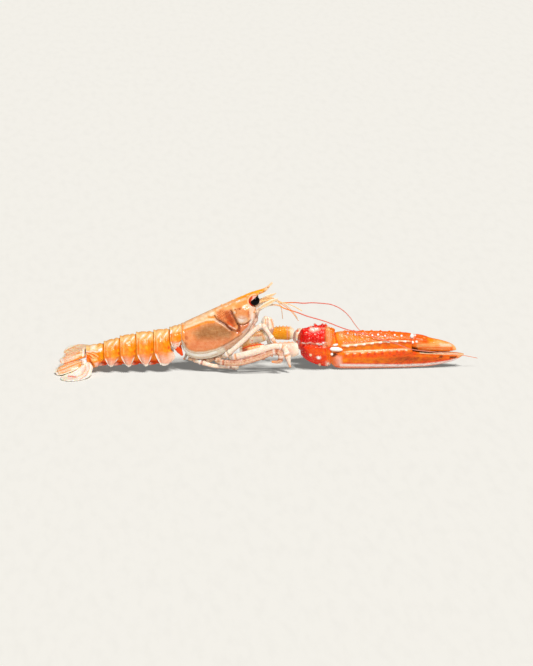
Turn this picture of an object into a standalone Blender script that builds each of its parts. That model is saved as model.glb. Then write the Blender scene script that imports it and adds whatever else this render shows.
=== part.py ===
"""A raw langoustine lying on its belly, head and claws towards +X, as closed solids.

Sizes and places are in millimetres, in an anatomical frame: the middle plane of the body is
y = 0, the near (right) side is -Y, and the ground is close to z = 0. The empty that carries
every piece is moved last, so that the whole stands on z = 0 and is centred on the origin.
"""

import math

import bmesh
import bpy
from mathutils import Matrix, Vector

MM = 0.001
NEAR = -1
FAR = 1
SIDE_NAMES = {NEAR: "near", FAR: "far"}
ACROSS_Y = Vector((0, 1, 0))
UPWARDS = Vector((0, 0, 1))

# Shell colours as (red, green, blue), linear.
COLOURS = {
    "shell_back": ((0.88, 0.42, 0.18), 0.35),
    "shell_tail": ((0.95, 0.32, 0.06), 0.32),
    "shell_fan": ((0.95, 0.60, 0.32), 0.35),
    "shell_claw": ((0.92, 0.24, 0.02), 0.33),
    "shell_red": ((0.80, 0.06, 0.01), 0.35),
    "shell_leg": ((0.88, 0.68, 0.50), 0.38),
    "shell_under": ((0.75, 0.35, 0.18), 0.45),
    "feeler": ((0.75, 0.30, 0.20), 0.40),
    "eye": ((0.01, 0.01, 0.01), 0.12),
}

# Carapace: x, z of the back, z of the lower rim, half width. The last three are the rostrum.
CARAPACE_STATIONS = (
    (-67.0, 38.9, 25.0, 10.5),
    (-65.0, 39.9, 18.6, 12.4),
    (-60.0, 42.4, 13.2, 14.0),
    (-52.0, 46.0, 11.6, 15.2),
    (-43.5, 49.9, 12.2, 15.6),
    (-35.0, 53.8, 14.8, 15.4),
    (-27.0, 57.2, 19.6, 14.8),
    (-18.0, 60.9, 26.3, 13.6),
    (-12.5, 63.0, 32.6, 12.4),
    (-7.0, 65.3, 41.0, 10.8),
    (-4.8, 65.9, 45.6, 9.6),
    (-3.8, 66.2, 62.0, 2.7),
    (3.8, 68.6, 66.0, 1.9),
    (10.1, 73.8, 73.0, 0.5),
)
CARAPACE_WRAP = math.radians(125)
CARAPACE_SIDES = 22

EYE_CENTRE = Vector((-5.0, 8.4, 60.2))
EYE_RADIUS = 3.8
ORBIT_RADIUS = 5.9
EYE_RINGS = 8
STALK_INWARDS = Vector((-0.72, -0.55, -0.42)).normalized()
# Distance from the eye's centre and radius there.
STALK_RINGS = ((4.15, 1.3), (4.5, 1.9), (4.9, 1.7))

# Abdomen rings: x of the front and rear edge, z of the back there, half width there, then the
# side plate: x that its front and rear edges bend towards, x and z of its tip, half its length.
ABDOMEN_RINGS = (
    ((-67.5, -76.2), (38.4, 35.3), (10.6, 12.0), (-67.8, -76.0), (-71.6, 20.6), 2.6),
    ((-76.6, -90.0), (35.0, 33.2), (12.4, 13.4), (-67.6, -91.6), (-83.6, 6.3), 3.6),
    ((-90.4, -104.6), (33.0, 31.6), (12.8, 13.4), (-92.0, -105.4), (-100.4, 6.1), 1.4),
    ((-105.0, -118.1), (31.3, 28.5), (12.4, 12.8), (-106.4, -119.2), (-113.2, 5.7), 1.4),
    ((-118.5, -131.6), (28.2, 24.0), (11.6, 12.0), (-119.8, -132.4), (-127.4, 5.8), 1.4),
    ((-132.0, -146.6), (23.6, 20.5), (10.8, 9.6), (-133.0, -146.4), (-140.2, 5.4), 3.2),
)
# A side plate starts at this share of the ring's height and narrows towards its tip.
SIDE_PLATE_TOP = 0.46
SIDE_PLATE_LEVELS = (0.75, 0.5, 0.25, 0)
SIDE_PLATE_TIP_WIDTH = 0.93
SIDE_PLATE_ROOT = 2.8
BELLY_HEIGHT = 9.6
BELLY_OVER_TIP = 2
BELLY_LEVEL = 0.36
ARCH_STEPS = 8
# How far along a ring its outline is taken, and how far it swells there.
RING_SWELLS = ((0, 0), (0.5, 0.3), (0.85, 0.5), (1, 0))

# Tail fan: its near side droops to the ground, and its far side is drawn in.
FAN_SLOPES = {NEAR: 0.36, FAR: 0.10}
FAN_REACH = {NEAR: 1.0, FAR: 0.74}
TELSON_ROLL = math.radians(14)
TELSON = (
    (-147.2, 0, 14.8, 5.6, 2.3),
    (-151.0, 0, 13.9, 6.6, 1.9),
    (-158.0, 0, 11.9, 6.5, 1.3),
    (-165.0, 0, 9.9, 5.7, 0.9),
    (-168.4, 0, 8.9, 3.6, 0.5),
)
# Each fan plate: x, y from the middle plane, height over the fan's own slope, half width, half
# thickness. fan_point adds the slope.
ENDOPOD = (
    (-152.8, 9.6, -2.6, 2.8, 0.9),
    (-156.0, 10.2, -2.8, 5.2, 0.8),
    (-162.0, 11.2, -2.8, 7.0, 0.7),
    (-168.6, 12.2, -2.6, 6.4, 0.6),
    (-172.4, 12.8, -2.2, 3.4, 0.4),
)
EXOPOD = (
    (-146.6, 14.6, -4.4, 2.8, 1.0),
    (-149.0, 18.0, -4.7, 6.4, 0.9),
    (-153.4, 23.2, -4.6, 9.2, 0.8),
    (-158.8, 29.0, -4.0, 9.4, 0.7),
    (-163.2, 33.4, -3.0, 7.0, 0.6),
    (-165.6, 35.8, -2.4, 3.0, 0.4),
)
PROTOPOD = (
    (-149.3, 7.6, -3.4, 1.6, 1.6),
    (-149.3, 9.4, -3.3, 2.2, 2.2),
    (-149.2, 11.6, -3.4, 2.2, 2.1),
    (-149.0, 12.8, -3.5, 1.2, 1.2),
)
FAN_JOINT = Vector((-147.0, 0, 15.0))
FAN_DROP_PER_MM = 0.28
FAN_LOWEST = 0.9

# Limbs: x, y from the middle plane (outwards), z, half width, half height.
ANTENNA_SCALE = (
    (-1.5, 10.6, 53.6, 1.0, 0.4),
    (2.5, 11.0, 55.4, 2.3, 0.6),
    (8.0, 11.0, 57.2, 2.6, 0.6),
    (13.0, 10.6, 58.2, 1.6, 0.5),
    (16.0, 10.2, 58.6, 0.4, 0.3),
)
ANTENNULE = (
    (-1.5, 3.4, 57.4, 1.6, 1.6),
    (3.5, 3.6, 58.6, 1.7, 1.5),
    (8.5, 3.7, 58.9, 1.4, 1.3),
    (12.5, 3.8, 58.0, 1.1, 1.0),
    (15.0, 4.0, 56.6, 0.5, 0.5),
    (22.0, 4.6, 52.6, 0.4, 0.4),
    (27.5, 5.2, 47.2, 0.35, 0.35),
    (31.5, 5.6, 41.4, 0.3, 0.3),
)
ANTENNA_BASE = (
    (-2.2, 7.0, 51.6, 2.2, 2.4),
    (2.0, 7.4, 53.2, 2.2, 2.2),
    (6.5, 7.6, 54.4, 1.9, 1.8),
    (11.5, 7.8, 54.6, 1.6, 1.5),
    (15.5, 8.0, 54.2, 1.2, 1.1),
)
# The whips of the two antennae, as they lie: x, y, z.
NEAR_WHIP = (
    (18.5, -8.5, 53.4),
    (29.5, -9.4, 49.8),
    (38.4, -10.2, 46.4),
    (48.7, -11.0, 43.4),
    (56.4, -11.8, 40.9),
    (64.0, -12.4, 37.8),
    (72.3, -13.2, 34.9),
    (82.9, -14.0, 32.4),
    (92.2, -14.8, 29.4),
    (101.0, -16.6, 26.9),
    (108.2, -18.0, 25.0),
    (116.4, -18.6, 22.0),
    (124.6, -18.4, 18.6),
    (141.8, -16.2, 15.6),
    (158.5, -14.6, 13.0),
    (170.5, -12.4, 10.9),
    (182.6, -9.0, 7.6),
)
FAR_WHIP = (
    (18.5, 8.4, 54.0),
    (29.0, 7.8, 54.2),
    (36.8, 7.0, 53.7),
    (43.4, 6.4, 54.1),
    (57.4, 5.8, 53.0),
    (63.8, 5.8, 51.0),
    (70.3, 5.8, 47.0),
    (76.1, 6.0, 41.0),
    (80.0, 6.2, 35.2),
    (85.6, 6.6, 29.0),
    (94.0, 7.0, 26.4),
    (106.0, 7.4, 25.0),
)
WHIP_RADIUS = (0.75, 0.4)

MAXILLIPED = (
    (0.4, 7.6, 33.6, 1.7, 2.0),
    (2.4, 8.0, 38.4, 1.8, 2.6),
    (4.8, 8.3, 41.4, 1.8, 2.8),
    (7.8, 8.2, 40.6, 1.8, 2.6),
    (9.6, 8.0, 36.2, 1.6, 2.3),
    (10.0, 7.8, 31.8, 1.0, 1.4),
)
MAXILLIPED_DROP = {NEAR: 0, FAR: 3.4}
MOUTHPARTS = (
    (-13.8, 0, 24.4, 4.6, 2.2),
    (-9.6, 0, 31.0, 5.6, 2.6),
    (-5.0, 0, 38.2, 5.4, 2.7),
    (-1.2, 0, 44.8, 4.4, 2.3),
    (0.4, 0, 49.4, 3.0, 1.6),
)
STERNUM = (
    (-60.5, 0, 10.2, 4.6, 2.0),
    (-52.0, 0, 8.4, 6.2, 2.5),
    (-43.5, 0, 8.9, 6.4, 2.6),
    (-35.0, 0, 11.2, 6.4, 2.6),
    (-27.0, 0, 15.6, 6.0, 2.6),
    (-19.6, 0, 21.0, 4.8, 2.2),
)

# Walking legs: x, y from the middle plane (outwards), z, half width, half height.
NEAR_LEGS = (
    (
        (-31.4, 10.6, 13.4, 1.9, 2.0),
        (-28.0, 13.6, 16.2, 2.2, 2.3),
        (-16.5, 15.9, 26.6, 2.1, 2.3),
        (-3.4, 16.4, 38.6, 2.0, 2.2),
        (0.2, 16.5, 40.6, 1.9, 2.1),
        (3.2, 16.5, 37.2, 1.9, 2.1),
        (8.8, 16.8, 28.8, 1.6, 1.9),
        (11.0, 16.9, 25.6, 0.8, 1.0),
    ),
    (
        (-26.0, 11.4, 12.4, 1.8, 2.0),
        (-21.6, 16.4, 14.0, 2.1, 2.4),
        (-5.0, 19.4, 18.9, 2.1, 2.5),
        (12.0, 20.4, 23.4, 1.9, 2.3),
        (17.0, 20.8, 22.8, 1.9, 2.2),
        (21.0, 21.4, 15.6, 1.7, 2.1),
        (23.6, 21.6, 5.4, 0.5, 0.7),
    ),
    (
        (-37.0, 11.4, 9.4, 1.7, 1.8),
        (-31.6, 17.0, 9.2, 2.0, 2.2),
        (-20.0, 22.4, 9.8, 2.0, 2.3),
        (-2.5, 24.2, 15.0, 2.0, 2.4),
        (11.5, 25.0, 19.6, 1.7, 2.1),
        (15.4, 25.2, 18.6, 1.7, 2.0),
        (16.4, 25.2, 11.6, 1.5, 1.8),
        (13.4, 25.0, 8.8, 0.6, 0.8),
    ),
    (
        (-55.5, 8.6, 9.6, 1.6, 1.8),
        (-50.0, 11.0, 8.2, 1.8, 2.0),
        (-38.0, 12.0, 5.2, 1.8, 1.9),
        (-26.0, 13.2, 5.4, 2.0, 2.1),
        (-21.2, 13.0, 4.2, 1.9, 2.5),
        (-22.4, 9.4, 3.0, 1.6, 1.8),
        (-30.0, 6.6, 2.6, 1.3, 1.5),
        (-38.0, 5.2, 2.2, 0.5, 0.7),
    ),
)
FAR_LEGS = (
    (
        (-30.5, 10.4, 13.4, 2.0, 2.2),
        (-24.0, 14.6, 18.0, 2.1, 2.3),
        (-6.0, 18.6, 29.8, 2.0, 2.3),
        (0.5, 19.0, 30.4, 1.8, 2.1),
        (5.0, 19.2, 26.0, 1.7, 2.0),
        (9.5, 19.4, 14.0, 1.4, 1.7),
        (11.0, 19.6, 5.0, 0.5, 0.7),
    ),
    (
        (-37.0, 10.6, 8.6, 2.0, 2.2),
        (-30.0, 17.0, 11.6, 2.1, 2.3),
        (-12.0, 23.6, 20.0, 2.0, 2.3),
        (-6.5, 24.6, 20.4, 1.8, 2.1),
        (-1.5, 25.6, 15.6, 1.6, 1.9),
        (5.0, 27.0, 1.0, 0.6, 0.9),
    ),
    (
        (-45.0, 10.4, 6.8, 1.9, 2.1),
        (-42.0, 16.0, 9.4, 2.0, 2.2),
        (-33.0, 26.0, 17.0, 1.9, 2.2),
        (-29.5, 28.6, 16.0, 1.7, 2.0),
        (-27.0, 30.6, 9.6, 1.5, 1.8),
        (-24.0, 31.6, 1.0, 0.6, 0.9),
    ),
    (
        (-55.0, 9.4, 7.2, 1.8, 2.0),
        (-55.5, 15.0, 9.4, 1.9, 2.1),
        (-57.0, 24.0, 13.6, 1.8, 2.0),
        (-58.0, 26.8, 12.2, 1.6, 1.8),
        (-60.0, 29.6, 7.0, 1.4, 1.6),
        (-63.0, 31.6, 1.0, 0.6, 0.9),
    ),
)

# Claw arms: ischium, merus and carpus, then the claw itself.
NEAR_ISCHIUM = (
    (-15.0, 8.4, 17.4, 2.2, 2.6),
    (-9.0, 10.4, 18.0, 3.0, 3.6),
    (-2.0, 11.6, 18.6, 3.3, 4.2),
    (2.4, 12.0, 19.0, 2.8, 3.6),
)
NEAR_MERUS = (
    (2.9, 12.1, 19.0, 2.8, 3.8),
    (8.0, 12.4, 19.0, 3.7, 5.0),
    (18.0, 12.4, 18.6, 4.2, 5.8),
    (26.0, 12.2, 18.4, 4.6, 6.4),
    (30.6, 11.8, 19.0, 3.6, 5.0),
)
NEAR_CARPUS = (
    (32.0, 9.6, 25.6, 5.4, 6.2),
    (35.2, 9.0, 25.4, 8.0, 10.0),
    (41.0, 7.8, 23.6, 9.2, 14.2),
    (47.0, 7.2, 21.6, 9.4, 16.2),
    (53.0, 7.0, 19.8, 9.2, 16.6),
    (57.4, 7.0, 18.2, 8.4, 15.8),
    (58.8, 7.0, 18.2, 6.8, 13.2),
)
FAR_ISCHIUM = (
    (-15.0, 8.4, 17.4, 2.2, 2.6),
    (-9.0, 10.2, 20.6, 3.0, 3.6),
    (-1.0, 11.6, 24.2, 3.3, 4.2),
    (5.0, 12.4, 26.0, 3.1, 3.9),
    (6.6, 12.4, 26.0, 2.8, 3.6),
)
FAR_MERUS = (
    (7.4, 12.8, 26.4, 2.8, 3.8),
    (11.0, 13.2, 26.6, 3.8, 4.9),
    (18.0, 13.2, 26.8, 4.3, 5.6),
    (24.6, 12.8, 26.6, 4.4, 5.7),
    (28.6, 12.6, 26.0, 3.4, 4.4),
)
FAR_CARPUS = (
    (29.9, 12.6, 24.4, 4.2, 4.4),
    (33.0, 13.4, 23.6, 6.6, 7.2),
    (39.0, 15.2, 20.0, 8.6, 9.4),
    (46.0, 17.2, 15.8, 10.4, 10.2),
    (52.0, 18.8, 12.0, 11.4, 9.8),
    (54.6, 19.4, 11.4, 10.4, 9.0),
    (55.8, 19.4, 11.4, 9.0, 7.6),
)
CARPUS_SPIKE = 1.1

# Propodus (palm and fixed finger): x, y, half width, z of the bottom, z of the top.
PROPODUS_STATIONS = (
    (59.4, -7.0, 6.4, 4.4, 29.6),
    (63.0, -7.0, 7.8, 1.7, 32.2),
    (68.0, -6.6, 9.2, 0.7, 32.8),
    (85.0, -6.5, 9.6, 0.3, 32.6),
    (105.0, -6.5, 9.4, 0.3, 31.5),
    (120.0, -6.6, 8.8, 0.4, 30.2),
    (126.4, -6.8, 8.2, 0.6, 29.2),
    (127.2, -6.8, 7.8, 0.7, 15.2),
    (140.0, -7.0, 6.8, 1.3, 13.2),
    (152.0, -7.4, 5.4, 3.2, 12.6),
    (162.0, -7.8, 3.8, 5.6, 12.2),
    (168.0, -8.2, 2.2, 8.6, 11.9),
    (171.0, -8.4, 0.7, 10.6, 11.6),
)
# Its cross-section: how far across (-1 is the near face), how far up, and the ridge height.
PROPODUS_SECTION = (
    (-0.15, 1.00, 1.0),
    (-0.52, 0.93, 0.9),
    (-0.78, 0.83, 0.0),
    (-0.98, 0.73, 1.1),
    (-0.93, 0.60, 0.0),
    (-1.00, 0.46, 1.0),
    (-0.92, 0.26, 0.0),
    (-0.64, 0.08, 0.0),
    (-0.25, 0.00, 0.0),
    (0.25, 0.02, 0.0),
    (0.75, 0.15, 0.0),
    (1.00, 0.45, 0.0),
    (0.90, 0.75, 0.0),
    (0.45, 0.95, 0.0),
)
# Ridges over this share of the height rise as well as stand out.
TOOTH_RISE_FROM = 0.6
PALM_RANGE = (66.0, 126.0)
TOOTH_SPACING = 6.6
DACTYL = (
    (128.0, -7.0, 22.6, 5.4, 5.2),
    (129.4, -7.0, 22.6, 6.2, 6.2),
    (134.0, -7.0, 21.8, 6.4, 6.4),
    (142.0, -7.2, 20.0, 5.6, 5.6),
    (150.0, -7.4, 18.9, 4.8, 4.9),
    (158.0, -7.8, 17.6, 3.6, 3.7),
    (162.0, -8.0, 16.4, 2.2, 2.4),
    (164.5, -8.2, 15.2, 0.6, 0.7),
)
# The far claw is the near one mirrored, a little smaller, and rolled onto its flat side.
NEAR_CLAW_ROOT = Vector((59.4, -7.0, 16.4))
FAR_CLAW_ROOT = Vector((56.6, 19.8, 10.4))
FAR_CLAW_ROLL = math.radians(-70)
FAR_CLAW_SCALE = 0.93

# Swimmerets, one pair behind the side plates of each of the rings 2 to 5: x of its middle.
SWIMMERET_ROOTS = (-91.6, -106.6, -120.2, -132.8)
SWIMMERET = (
    (4.6, 5.2, 7.9, 0.9, 0.7),
    (2.0, 5.4, 7.4, 1.9, 1.5),
    (-2.2, 5.5, 7.0, 2.0, 1.6),
    (-4.4, 5.5, 6.6, 0.8, 0.6),
)


def clear_scene():
    for thing in list(bpy.data.objects):
        bpy.data.objects.remove(thing, do_unlink=True)


def shell_material(kind):
    """The one material of this kind, made when it is first asked for."""
    if kind in bpy.data.materials:
        return bpy.data.materials[kind]
    colour, roughness = COLOURS[kind]
    material = bpy.data.materials.new(kind)
    material.use_nodes = True
    shader = material.node_tree.nodes["Principled BSDF"]
    shader.inputs["Base Color"].default_value = (*colour, 1)
    shader.inputs["Roughness"].default_value = roughness
    shader.inputs["Metallic"].default_value = 0
    return material


def add_solid(name, root, rings, kind):
    """One closed solid through these rings of points, with a fan of triangles at each end."""
    mesh = bpy.data.meshes.new(name)
    builder = bmesh.new()
    rows = []
    for ring in rings:
        rows.append([builder.verts.new(point * MM) for point in ring])
    for lower, upper in zip(rows, rows[1:]):
        for index in range(len(lower)):
            after = (index + 1) % len(lower)
            builder.faces.new((lower[index], lower[after], upper[after], upper[index]))
    for ring, row in ((rings[0], rows[0]), (rings[-1], rows[-1])):
        tip = builder.verts.new(sum(ring, Vector()) / len(ring) * MM)
        for index in range(len(row)):
            builder.faces.new((row[index], row[(index + 1) % len(row)], tip))
    bmesh.ops.recalc_face_normals(builder, faces=builder.faces)
    for face in builder.faces:
        face.smooth = True
    builder.to_mesh(mesh)
    builder.free()
    mesh.materials.append(shell_material(kind))
    solid = bpy.data.objects.new(name, mesh)
    bpy.context.scene.collection.objects.link(solid)
    solid.parent = root
    return solid


def limb_rings(stations, across, sides):
    """Rings round a path, each an ellipse square to the path, wide along the across vector."""
    path = [Vector(station[:3]) for station in stations]
    rings = []
    for index, station in enumerate(stations):
        before = path[max(index - 1, 0)]
        after = path[min(index + 1, len(path) - 1)]
        along = (after - before).normalized()
        side = (across - across.dot(along) * along).normalized()
        up = along.cross(side)
        half_width, half_height = station[3:]
        ring = []
        for step in range(sides):
            angle = math.tau * step / sides
            offset = side * half_width * math.cos(angle) + up * half_height * math.sin(angle)
            ring.append(path[index] + offset)
        rings.append(ring)
    return rings


def on_side(stations, side):
    """These stations with y counted outwards from the middle plane."""
    return [(x, side * y, z, width, height) for x, y, z, width, height in stations]


def between(start, end, fraction):
    return start + (end - start) * fraction


def values_at(stations, x):
    """The values between the two stations round x, by straight lines."""
    for first, second in zip(stations, stations[1:]):
        if first[0] <= x <= second[0]:
            fraction = (x - first[0]) / (second[0] - first[0])
            return [between(a, b, fraction) for a, b in zip(first[1:], second[1:])]
    return list(stations[-1][1:])


def carapace_ring(x, back, rim, half_width):
    """An arch from one lower rim over the back to the other, closed by a flat underside."""
    half_height = (back - rim) / (1 - math.cos(CARAPACE_WRAP))
    ring = []
    for step in range(CARAPACE_SIDES):
        angle = CARAPACE_WRAP * (2 * step / (CARAPACE_SIDES - 1) - 1)
        ring.append(
            Vector(
                (
                    x,
                    half_width * math.sin(angle),
                    back - half_height * (1 - math.cos(angle)),
                )
            )
        )
    return ring


def add_orbit_cutter(side, root):
    """The ball that hollows one eye socket out of the carapace."""
    mesh = bpy.data.meshes.new("orbit_cutter")
    builder = bmesh.new()
    bmesh.ops.create_icosphere(builder, subdivisions=2, radius=ORBIT_RADIUS * MM)
    builder.to_mesh(mesh)
    builder.free()
    cutter = bpy.data.objects.new("cutter_orbit_" + SIDE_NAMES[side], mesh)
    bpy.context.scene.collection.objects.link(cutter)
    cutter.parent = root
    cutter.location = Vector((EYE_CENTRE.x, side * EYE_CENTRE.y, EYE_CENTRE.z)) * MM
    cutter.hide_render = True
    cutter.display_type = "WIRE"
    return cutter


def add_carapace(root):
    """The head and thorax shell with its rostrum, and a socket for each eye."""
    rings = [carapace_ring(*station) for station in CARAPACE_STATIONS]
    carapace = add_solid("carapace", root, rings, "shell_back")
    for side in (NEAR, FAR):
        cut = carapace.modifiers.new("orbit_" + SIDE_NAMES[side], "BOOLEAN")
        cut.operation = "DIFFERENCE"
        cut.solver = "EXACT"
        cut.object = add_orbit_cutter(side, root)


def add_eye(side, root):
    """The eye ball and the short stalk behind it."""
    centre = Vector((EYE_CENTRE.x, side * EYE_CENTRE.y, EYE_CENTRE.z))
    inwards = Vector((STALK_INWARDS.x, side * STALK_INWARDS.y, STALK_INWARDS.z))
    ball = []
    for step in range(1, EYE_RINGS):
        angle = math.pi * step / EYE_RINGS
        place = centre + inwards * EYE_RADIUS * math.cos(angle)
        radius = EYE_RADIUS * math.sin(angle)
        ball.append((*place, radius, radius))
    add_solid("eye_" + SIDE_NAMES[side], root, limb_rings(ball, UPWARDS, 14), "eye")
    stalk = []
    for distance, radius in STALK_RINGS:
        stalk.append((*(centre + inwards * distance), radius, radius))
    rings = limb_rings(stalk, UPWARDS, 10)
    add_solid("eyestalk_" + SIDE_NAMES[side], root, rings, "shell_red")


def side_plate_x(x, bend, tip, level):
    """An edge of a side plate: a curve from x at level 1 down to its tip at level 0."""
    return level**2 * x + 2 * level * (1 - level) * bend + (1 - level) ** 2 * tip


def abdomen_ring(shape, fraction, bulge):
    """The outline of one abdomen ring, this far from its front edge to its rear edge."""
    edges, backs, widths, bends, (tip_x, tip_z), tip_half = shape
    x = between(*edges, fraction)
    back = between(*backs, fraction) + bulge
    half_width = between(*widths, fraction) + bulge
    plate_top = tip_z + (back - tip_z) * SIDE_PLATE_TOP
    bend = between(*bends, fraction)
    tip = between(tip_x + tip_half, tip_x - tip_half, fraction)
    plate = []
    for level in SIDE_PLATE_LEVELS:
        out = half_width * between(SIDE_PLATE_TIP_WIDTH, 1, level)
        height = between(tip_z, plate_top, level)
        plate.append(Vector((side_plate_x(x, bend, tip, level), out, height)))
    arch = []
    for step in range(ARCH_STEPS + 1):
        angle = math.pi * (step / ARCH_STEPS - 0.5)
        height = plate_top + (back - plate_top) * math.cos(angle)
        arch.append(Vector((x, half_width * math.sin(angle), height)))
    belly_x = side_plate_x(x, bend, tip, BELLY_LEVEL)
    belly = max(BELLY_HEIGHT, tip_z + BELLY_OVER_TIP)
    root = half_width - SIDE_PLATE_ROOT
    inside = [Vector((belly_x, root, belly)), Vector((belly_x, -root, belly))]
    near_plate = [Vector((point.x, -point.y, point.z)) for point in reversed(plate)]
    return near_plate + arch + plate + inside


def add_abdomen(root):
    """The six rings, each an arch over the back with a side plate hanging on each side."""
    for number, shape in enumerate(ABDOMEN_RINGS, 1):
        rings = [abdomen_ring(shape, fraction, bulge) for fraction, bulge in RING_SWELLS]
        add_solid(f"abdomen_ring_{number}", root, rings, "shell_tail")


def fan_point(side, x, y, over):
    """A point of the tail fan: it drops towards the tip and towards the near side."""
    back = (FAN_JOINT.x - x) * FAN_REACH[side]
    height = FAN_JOINT.z - back * FAN_DROP_PER_MM + side * y * FAN_SLOPES[side] + over
    return Vector((FAN_JOINT.x - back, side * y, max(height, FAN_LOWEST)))


def add_fan_plate(name, side, stations, root):
    """One leaf-like plate that lies in the fan's own slope."""
    placed = []
    for x, y, over, half_width, half_height in stations:
        placed.append((*fan_point(side, x, y, over), half_width, half_height))
    path_start = Vector(placed[0][:3])
    path_end = Vector(placed[-1][:3])
    along = (path_end - path_start).normalized()
    fan_normal = Vector((-FAN_DROP_PER_MM, -FAN_SLOPES[side], 1)).normalized()
    across = fan_normal.cross(along)
    add_solid(name, root, limb_rings(placed, across, 10), "shell_fan")


def add_tail_fan(root):
    """The telson in the middle, and a base, an inner and an outer plate on each side."""
    across = Vector((0, math.cos(TELSON_ROLL), math.sin(TELSON_ROLL)))
    add_solid("telson", root, limb_rings(TELSON, across, 10), "shell_fan")
    for side in (NEAR, FAR):
        word = SIDE_NAMES[side]
        add_fan_plate(f"uropod_base_{word}", side, PROTOPOD, root)
        add_fan_plate(f"uropod_inner_{word}", side, ENDOPOD, root)
        add_fan_plate(f"uropod_outer_{word}", side, EXOPOD, root)


def add_limb(name, side, stations, root, kind, sides=8, across=ACROSS_Y):
    """A limb through stations whose y counts outwards from the middle plane."""
    rings = limb_rings(on_side(stations, side), across, sides)
    add_solid(name, root, rings, kind)


def add_feelers(root):
    """Scales, antennules and antennae. Each antenna is a thick base that runs into its whip."""
    for side, whip in ((NEAR, NEAR_WHIP), (FAR, FAR_WHIP)):
        word = SIDE_NAMES[side]
        add_limb(f"antenna_scale_{word}", side, ANTENNA_SCALE, root, "shell_leg", 8, UPWARDS)
        add_limb(f"antennule_{word}", side, ANTENNULE, root, "feeler", 6)
        stations = on_side(ANTENNA_BASE, side)
        for index, place in enumerate(whip):
            radius = between(*WHIP_RADIUS, index / (len(whip) - 1))
            stations.append((*place, radius, radius))
        add_solid(f"antenna_{word}", root, limb_rings(stations, ACROSS_Y, 6), "feeler")


def add_underside(root):
    """Mouthparts, breastplate, the two leg-like jaws and the swimmerets."""
    add_limb("mouthparts", FAR, MOUTHPARTS, root, "shell_under", 10)
    add_limb("sternum", FAR, STERNUM, root, "shell_under", 10)
    for side in (NEAR, FAR):
        word = SIDE_NAMES[side]
        drop = MAXILLIPED_DROP[side]
        lowered = [(x, y, z - drop, width, height) for x, y, z, width, height in MAXILLIPED]
        add_limb(f"maxilliped_{word}", side, lowered, root, "shell_leg")
        for number, x in enumerate(SWIMMERET_ROOTS, 2):
            placed = [(x + station[0], *station[1:]) for station in SWIMMERET]
            add_limb(f"swimmeret_{number}_{word}", side, placed, root, "shell_under")


def add_walking_legs(root):
    for side, legs in ((NEAR, NEAR_LEGS), (FAR, FAR_LEGS)):
        for number, stations in enumerate(legs, 1):
            add_limb(f"leg_{number}_{SIDE_NAMES[side]}", side, stations, root, "shell_leg")


def spiked(rings, spike):
    """These rings with every second point of every second ring raised from the ring's middle."""
    raised = []
    for row, ring in enumerate(rings):
        middle = sum(ring, Vector()) / len(ring)
        lift = spike if 0 < row < len(rings) - 1 else 0
        points = []
        for index, point in enumerate(ring):
            raise_this = (index + row) % 2 == 0
            outwards = (point - middle).normalized()
            points.append(point + outwards * lift * raise_this)
        raised.append(points)
    return raised


def propodus_ring(x, tooth):
    """The claw's cross-section at x, with its ridges raised where a row of teeth has one."""
    middle, half_width, bottom, top = values_at(PROPODUS_STATIONS, x)
    ring = []
    for across, up, ridge in PROPODUS_SECTION:
        lift = ridge * tooth
        y = middle + half_width * across - lift * abs(across)
        z = bottom + (top - bottom) * up + lift * max(up - TOOTH_RISE_FROM, 0)
        ring.append(Vector((x, y, z)))
    return ring


def propodus_rings():
    """Rings at every station, and on the palm two for each tooth: a low one and a high one."""
    first, last = PALM_RANGE
    count = round((last - first) / TOOTH_SPACING)
    places = [(x, 0) for x, *_ in PROPODUS_STATIONS if not first <= x <= last]
    for step in range(2 * count + 1):
        is_tooth = step % 2
        places.append((between(first, last, step / (2 * count)), is_tooth))
    return [propodus_ring(x, tooth) for x, tooth in sorted(places)]


def to_far_claw(rings):
    """The same rings mirrored, scaled and rolled to where the far claw lies."""
    turn = Matrix.Rotation(FAR_CLAW_ROLL, 3, "X")
    moved = []
    for ring in rings:
        points = []
        for point in ring:
            local = (point - NEAR_CLAW_ROOT) * FAR_CLAW_SCALE
            mirrored = Vector((local.x, -local.y, local.z))
            points.append(FAR_CLAW_ROOT + turn @ mirrored)
        moved.append(points)
    return moved


def add_claw_arms(root):
    """The three limb joints between the body and each claw."""
    arms = (
        (NEAR, NEAR_ISCHIUM, NEAR_MERUS, NEAR_CARPUS, "shell_leg"),
        (FAR, FAR_ISCHIUM, FAR_MERUS, FAR_CARPUS, "shell_claw"),
    )
    for side, ischium, merus, carpus, kind in arms:
        word = SIDE_NAMES[side]
        add_limb(f"claw_ischium_{word}", side, ischium, root, "shell_leg", 10)
        add_limb(f"claw_merus_{word}", side, merus, root, kind, 12)
        rings = limb_rings(on_side(carpus, side), ACROSS_Y, 16)
        add_solid(f"claw_carpus_{word}", root, spiked(rings, CARPUS_SPIKE), "shell_red")


def add_claws(root):
    """Both claws: palm with fixed finger, and the moving finger."""
    palm = propodus_rings()
    finger = limb_rings(DACTYL, ACROSS_Y, 12)
    add_solid("claw_propodus_near", root, palm, "shell_claw")
    add_solid("claw_dactyl_near", root, finger, "shell_claw")
    add_solid("claw_propodus_far", root, to_far_claw(palm), "shell_claw")
    add_solid("claw_dactyl_far", root, to_far_claw(finger), "shell_claw")


def centre_on_ground(root):
    """Moves the whole so that its box stands on z = 0, centred on the origin."""
    corners = []
    for solid in root.children:
        if not solid.hide_render:
            corners.extend(vertex.co for vertex in solid.data.vertices)
    low = Vector([min(corner[axis] for corner in corners) for axis in range(3)])
    high = Vector([max(corner[axis] for corner in corners) for axis in range(3)])
    middle = (low + high) / 2
    root.location = (-middle.x, -middle.y, -low.z)


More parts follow.
